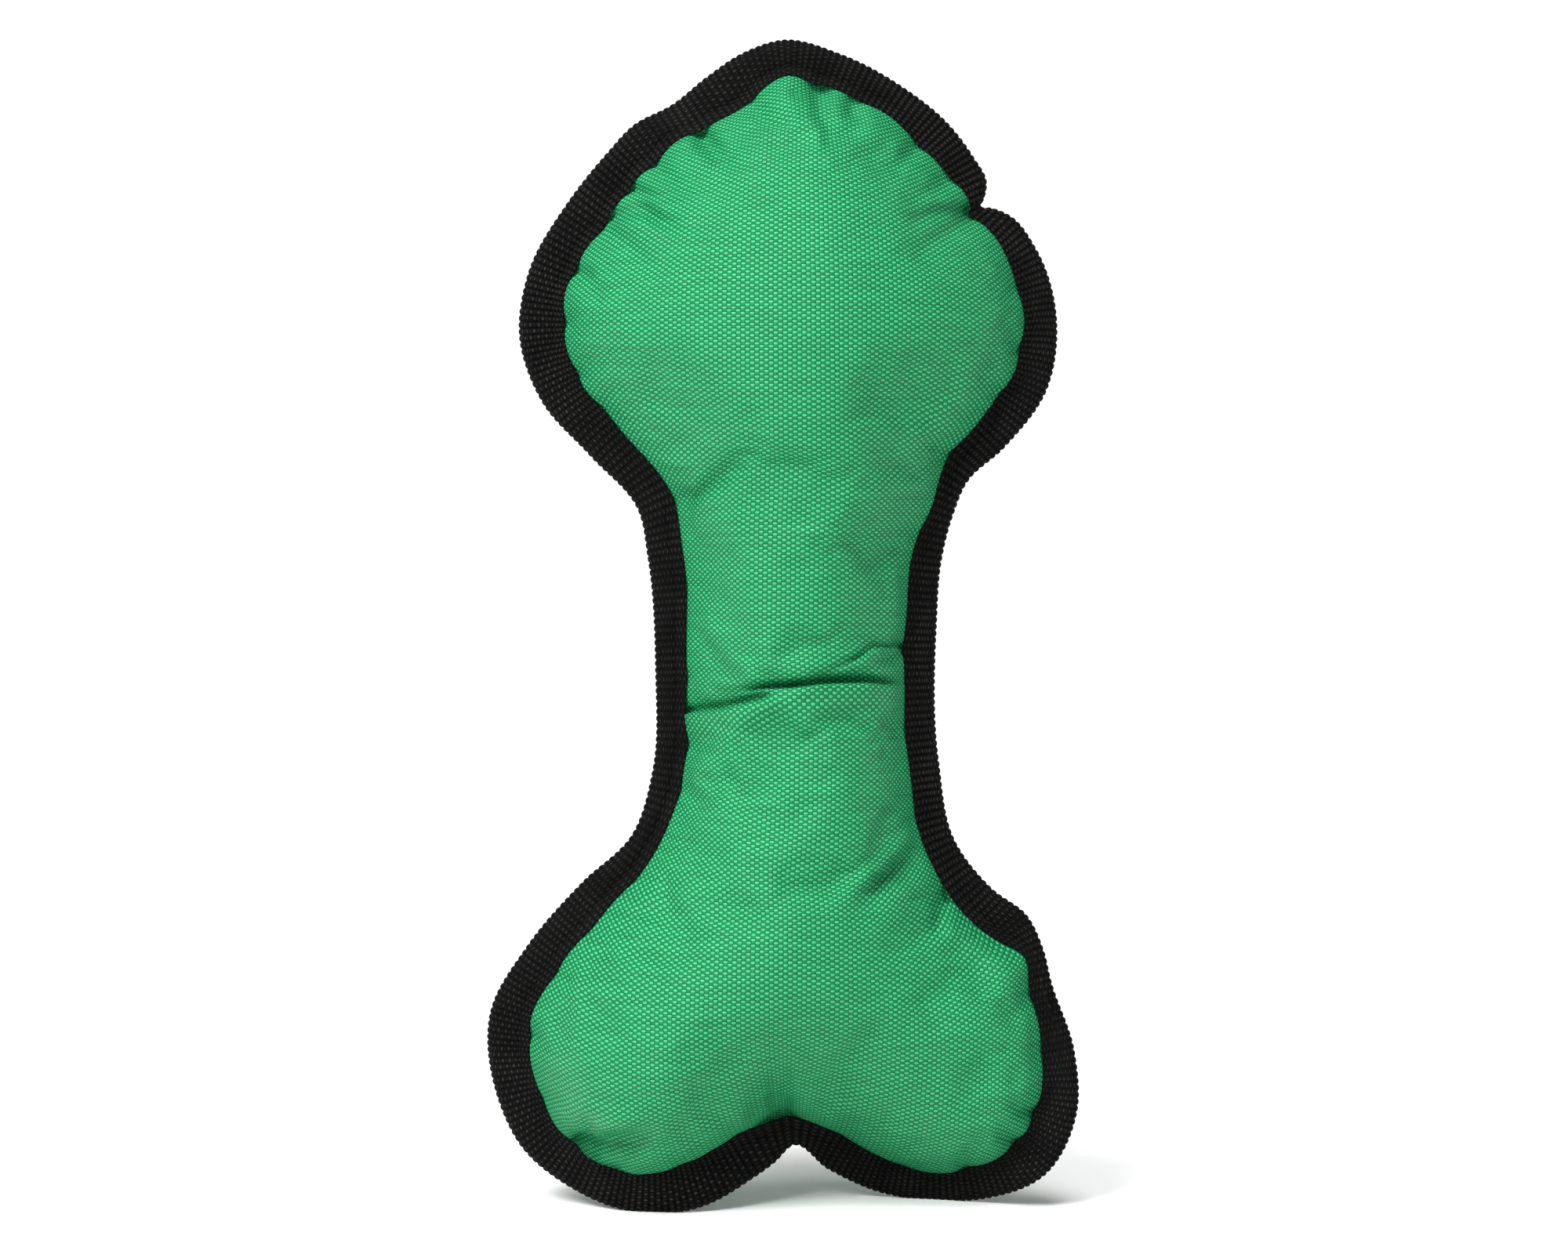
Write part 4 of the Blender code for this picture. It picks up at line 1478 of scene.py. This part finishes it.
def white_paper() -> bpy.types.Material:
    """Smooth uncoated paper, calendered: plain white with no gleam and a faint fibre grain.

    Returns:
        The material.
    """
    material, tree, shader = new_material(
        "white_paper", {"Base Color": linear("#fbfbfb"), "Roughness": 0.9,
                        "Specular IOR Level": 0.1})
    fibre = add_node(tree, "TexNoise", {"Vector": add_node(tree, "TexCoord").outputs["Object"]},
                     inputs={"Scale": 900.0, "Detail": 2.0})
    bump = add_node(tree, "Bump", {"Height": fibre.outputs["Fac"]},
                    inputs={"Strength": 0.1, "Distance": 0.02 * MM})
    link_into(shader, {"Normal": bump})
    return material


def dress_squeaker() -> None:
    """Give the squeaker its plastics; its bulb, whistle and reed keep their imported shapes."""
    soft, hard = VINYL.material(), HARD_PLASTIC.material()
    for node, material in (("squeaker_bulb", soft), ("squeaker_whistle", hard),
                           ("squeaker_reed", hard)):
        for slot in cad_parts[node].material_slots:
            slot.material = material
        LOG.info("%s: packed shape, %s", node, material.name)


# ---- the studio ----

@dataclass
class Studio:
    """A white paper dish, soft lights and the camera, in metres."""

    frame_width: float = 0.3758   # how much the camera sees from side to side, at the bone
    distance: float = 1.6
    elevation: float = 5.0
    target: Row = (0.0003, 0.0, 0.1400)
    sensor: float = 36.0
    floor_half: float = 4.2
    floor_steps: int = 85
    flat_radius: float = 2.1
    steepness: float = 0.9
    softboxes: tuple[tuple[str, Row, Row, float, float], ...] = (   # place, aim, size, watts
        ("key_softbox", (-0.8, -1.3, 1.3), target, 0.8, 45.0),
        ("side_softbox", (-0.9, -0.45, 1.9), target, 1.0, 16.0),
        ("floor_softbox", (0.15, -0.9, 2.4), (0.05, -0.1, 0.0), 1.0, 48.0),
        ("paper_softbox", (0.0, 0.9, 1.7), (0.0, 3.4, 0.9), 1.6, 27.0),
    )

    def stand(self, name: str, data: bpy.types.ID, place: Vector, aim: Vector) -> bpy.types.Object:
        """Put a camera or a light at a place, turned towards another.

        Args:
            name: the object's name.
            data: the camera or light.
            place: where it stands.
            aim: what it looks at.

        Returns:
            The object.
        """
        holder = add_object(name, data)
        holder.location = place
        holder.rotation_euler = (aim - place).to_track_quat("-Z", "Y").to_euler()
        return holder

    def add_camera(self) -> None:
        """A long lens in front of the bone, looking slightly down at it."""
        camera = bpy.data.cameras.new("camera")
        camera.sensor_width = self.sensor
        camera.lens = self.sensor * self.distance / self.frame_width
        camera.clip_end = 50.0
        tilt, target = math.radians(self.elevation), Vector(self.target)
        back = Vector((0.0, -math.cos(tilt), math.sin(tilt)))
        place = target + back * self.distance
        bpy.context.scene.camera = self.stand("camera", camera, place, target)

    def add_floor(self) -> None:
        """A paper dish: flat round the bone, its rim rising with the square of the distance."""
        line = np.linspace(-self.floor_half, self.floor_half, self.floor_steps)
        x, y = np.meshgrid(line, line)
        rise = self.steepness * np.maximum(np.hypot(x, y) - self.flat_radius, 0.0)**2
        points = np.stack((x, y, rise), axis=-1).reshape(-1, 3) / MM
        piece = mesh_piece("paper_sweep", points, sheet_faces(np.arange(x.size).reshape(x.shape)))
        piece.data.materials.append(white_paper())

    def add_light(self) -> None:
        """A soft key from the upper left with a smaller one behind it, a light over the floor in
        front, and one for the paper behind. The paper's own reflection is all the rest."""
        world = bpy.data.worlds.new("dark_studio")
        world.use_nodes = True
        world.node_tree.nodes["Background"].inputs["Strength"].default_value = 0.0
        bpy.context.scene.world = world
        for name, place, aim, size, power in self.softboxes:
            light = bpy.data.lights.new(name, "AREA")
            light.size, light.energy = size, power
            self.stand(name, light, Vector(place), Vector(aim))
        bpy.context.scene.view_settings.view_transform = "Standard"

    def build(self) -> None:
        """Set the whole studio up."""
        self.add_camera()
        self.add_floor()
        self.add_light()


def mount(piece: bpy.types.Object, material: bpy.types.Material, node: str) -> None:
    """Dress a piece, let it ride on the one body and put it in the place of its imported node.

    Args:
        piece: the finished piece.
        material: its one material.
        node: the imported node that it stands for.
    """
    piece.data.materials.clear()
    piece.data.materials.append(material)
    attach(piece, BODY)
    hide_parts(node)
    LOG.info("%s: %d faces, %s", piece.name, len(piece.data.polygons), material.name)


def main() -> None:
    """Build the studio and every piece of the bumper, in order from the outside in."""
    logging.basicConfig(level=logging.INFO, format="%(name)s %(message)s")
    Studio().build()
    shape = StuffedShape(SeamOutline())
    cloth, tape = OXFORD_CLOTH.material(), WEBBING_TAPE.material()
    thread = SewingThread().material()
    panels = ClothPanels(shape, settling=ClothSettling())
    for side, node in ((Side.FRONT, "front_panel"), (Side.BACK, "back_panel")):
        piece = panels.build(side)
        mount(piece, cloth, node)
    binding = EdgeBinding(shape)
    mount(binding.build(), tape, "edge_binding")
    rows = StitchRow(binding)
    mount(rows.build(Side.FRONT), thread, "needle_thread")
    mount(rows.build(Side.BACK), thread, "bobbin_thread")
    mount(OverlockThread(shape).build(), thread, "overlock_thread")
    mount(EndTack(binding).build(), thread, "binding_end_tack")
    fibre, filling = FIBREFILL.material(), FibreFill(panels)
    for node in ("fill_lower", "fill_shank", "fill_upper"):
        piece = filling.build(node)
        mount(piece, fibre, node)
    dress_squeaker()


if __name__ == "__main__":
    main()
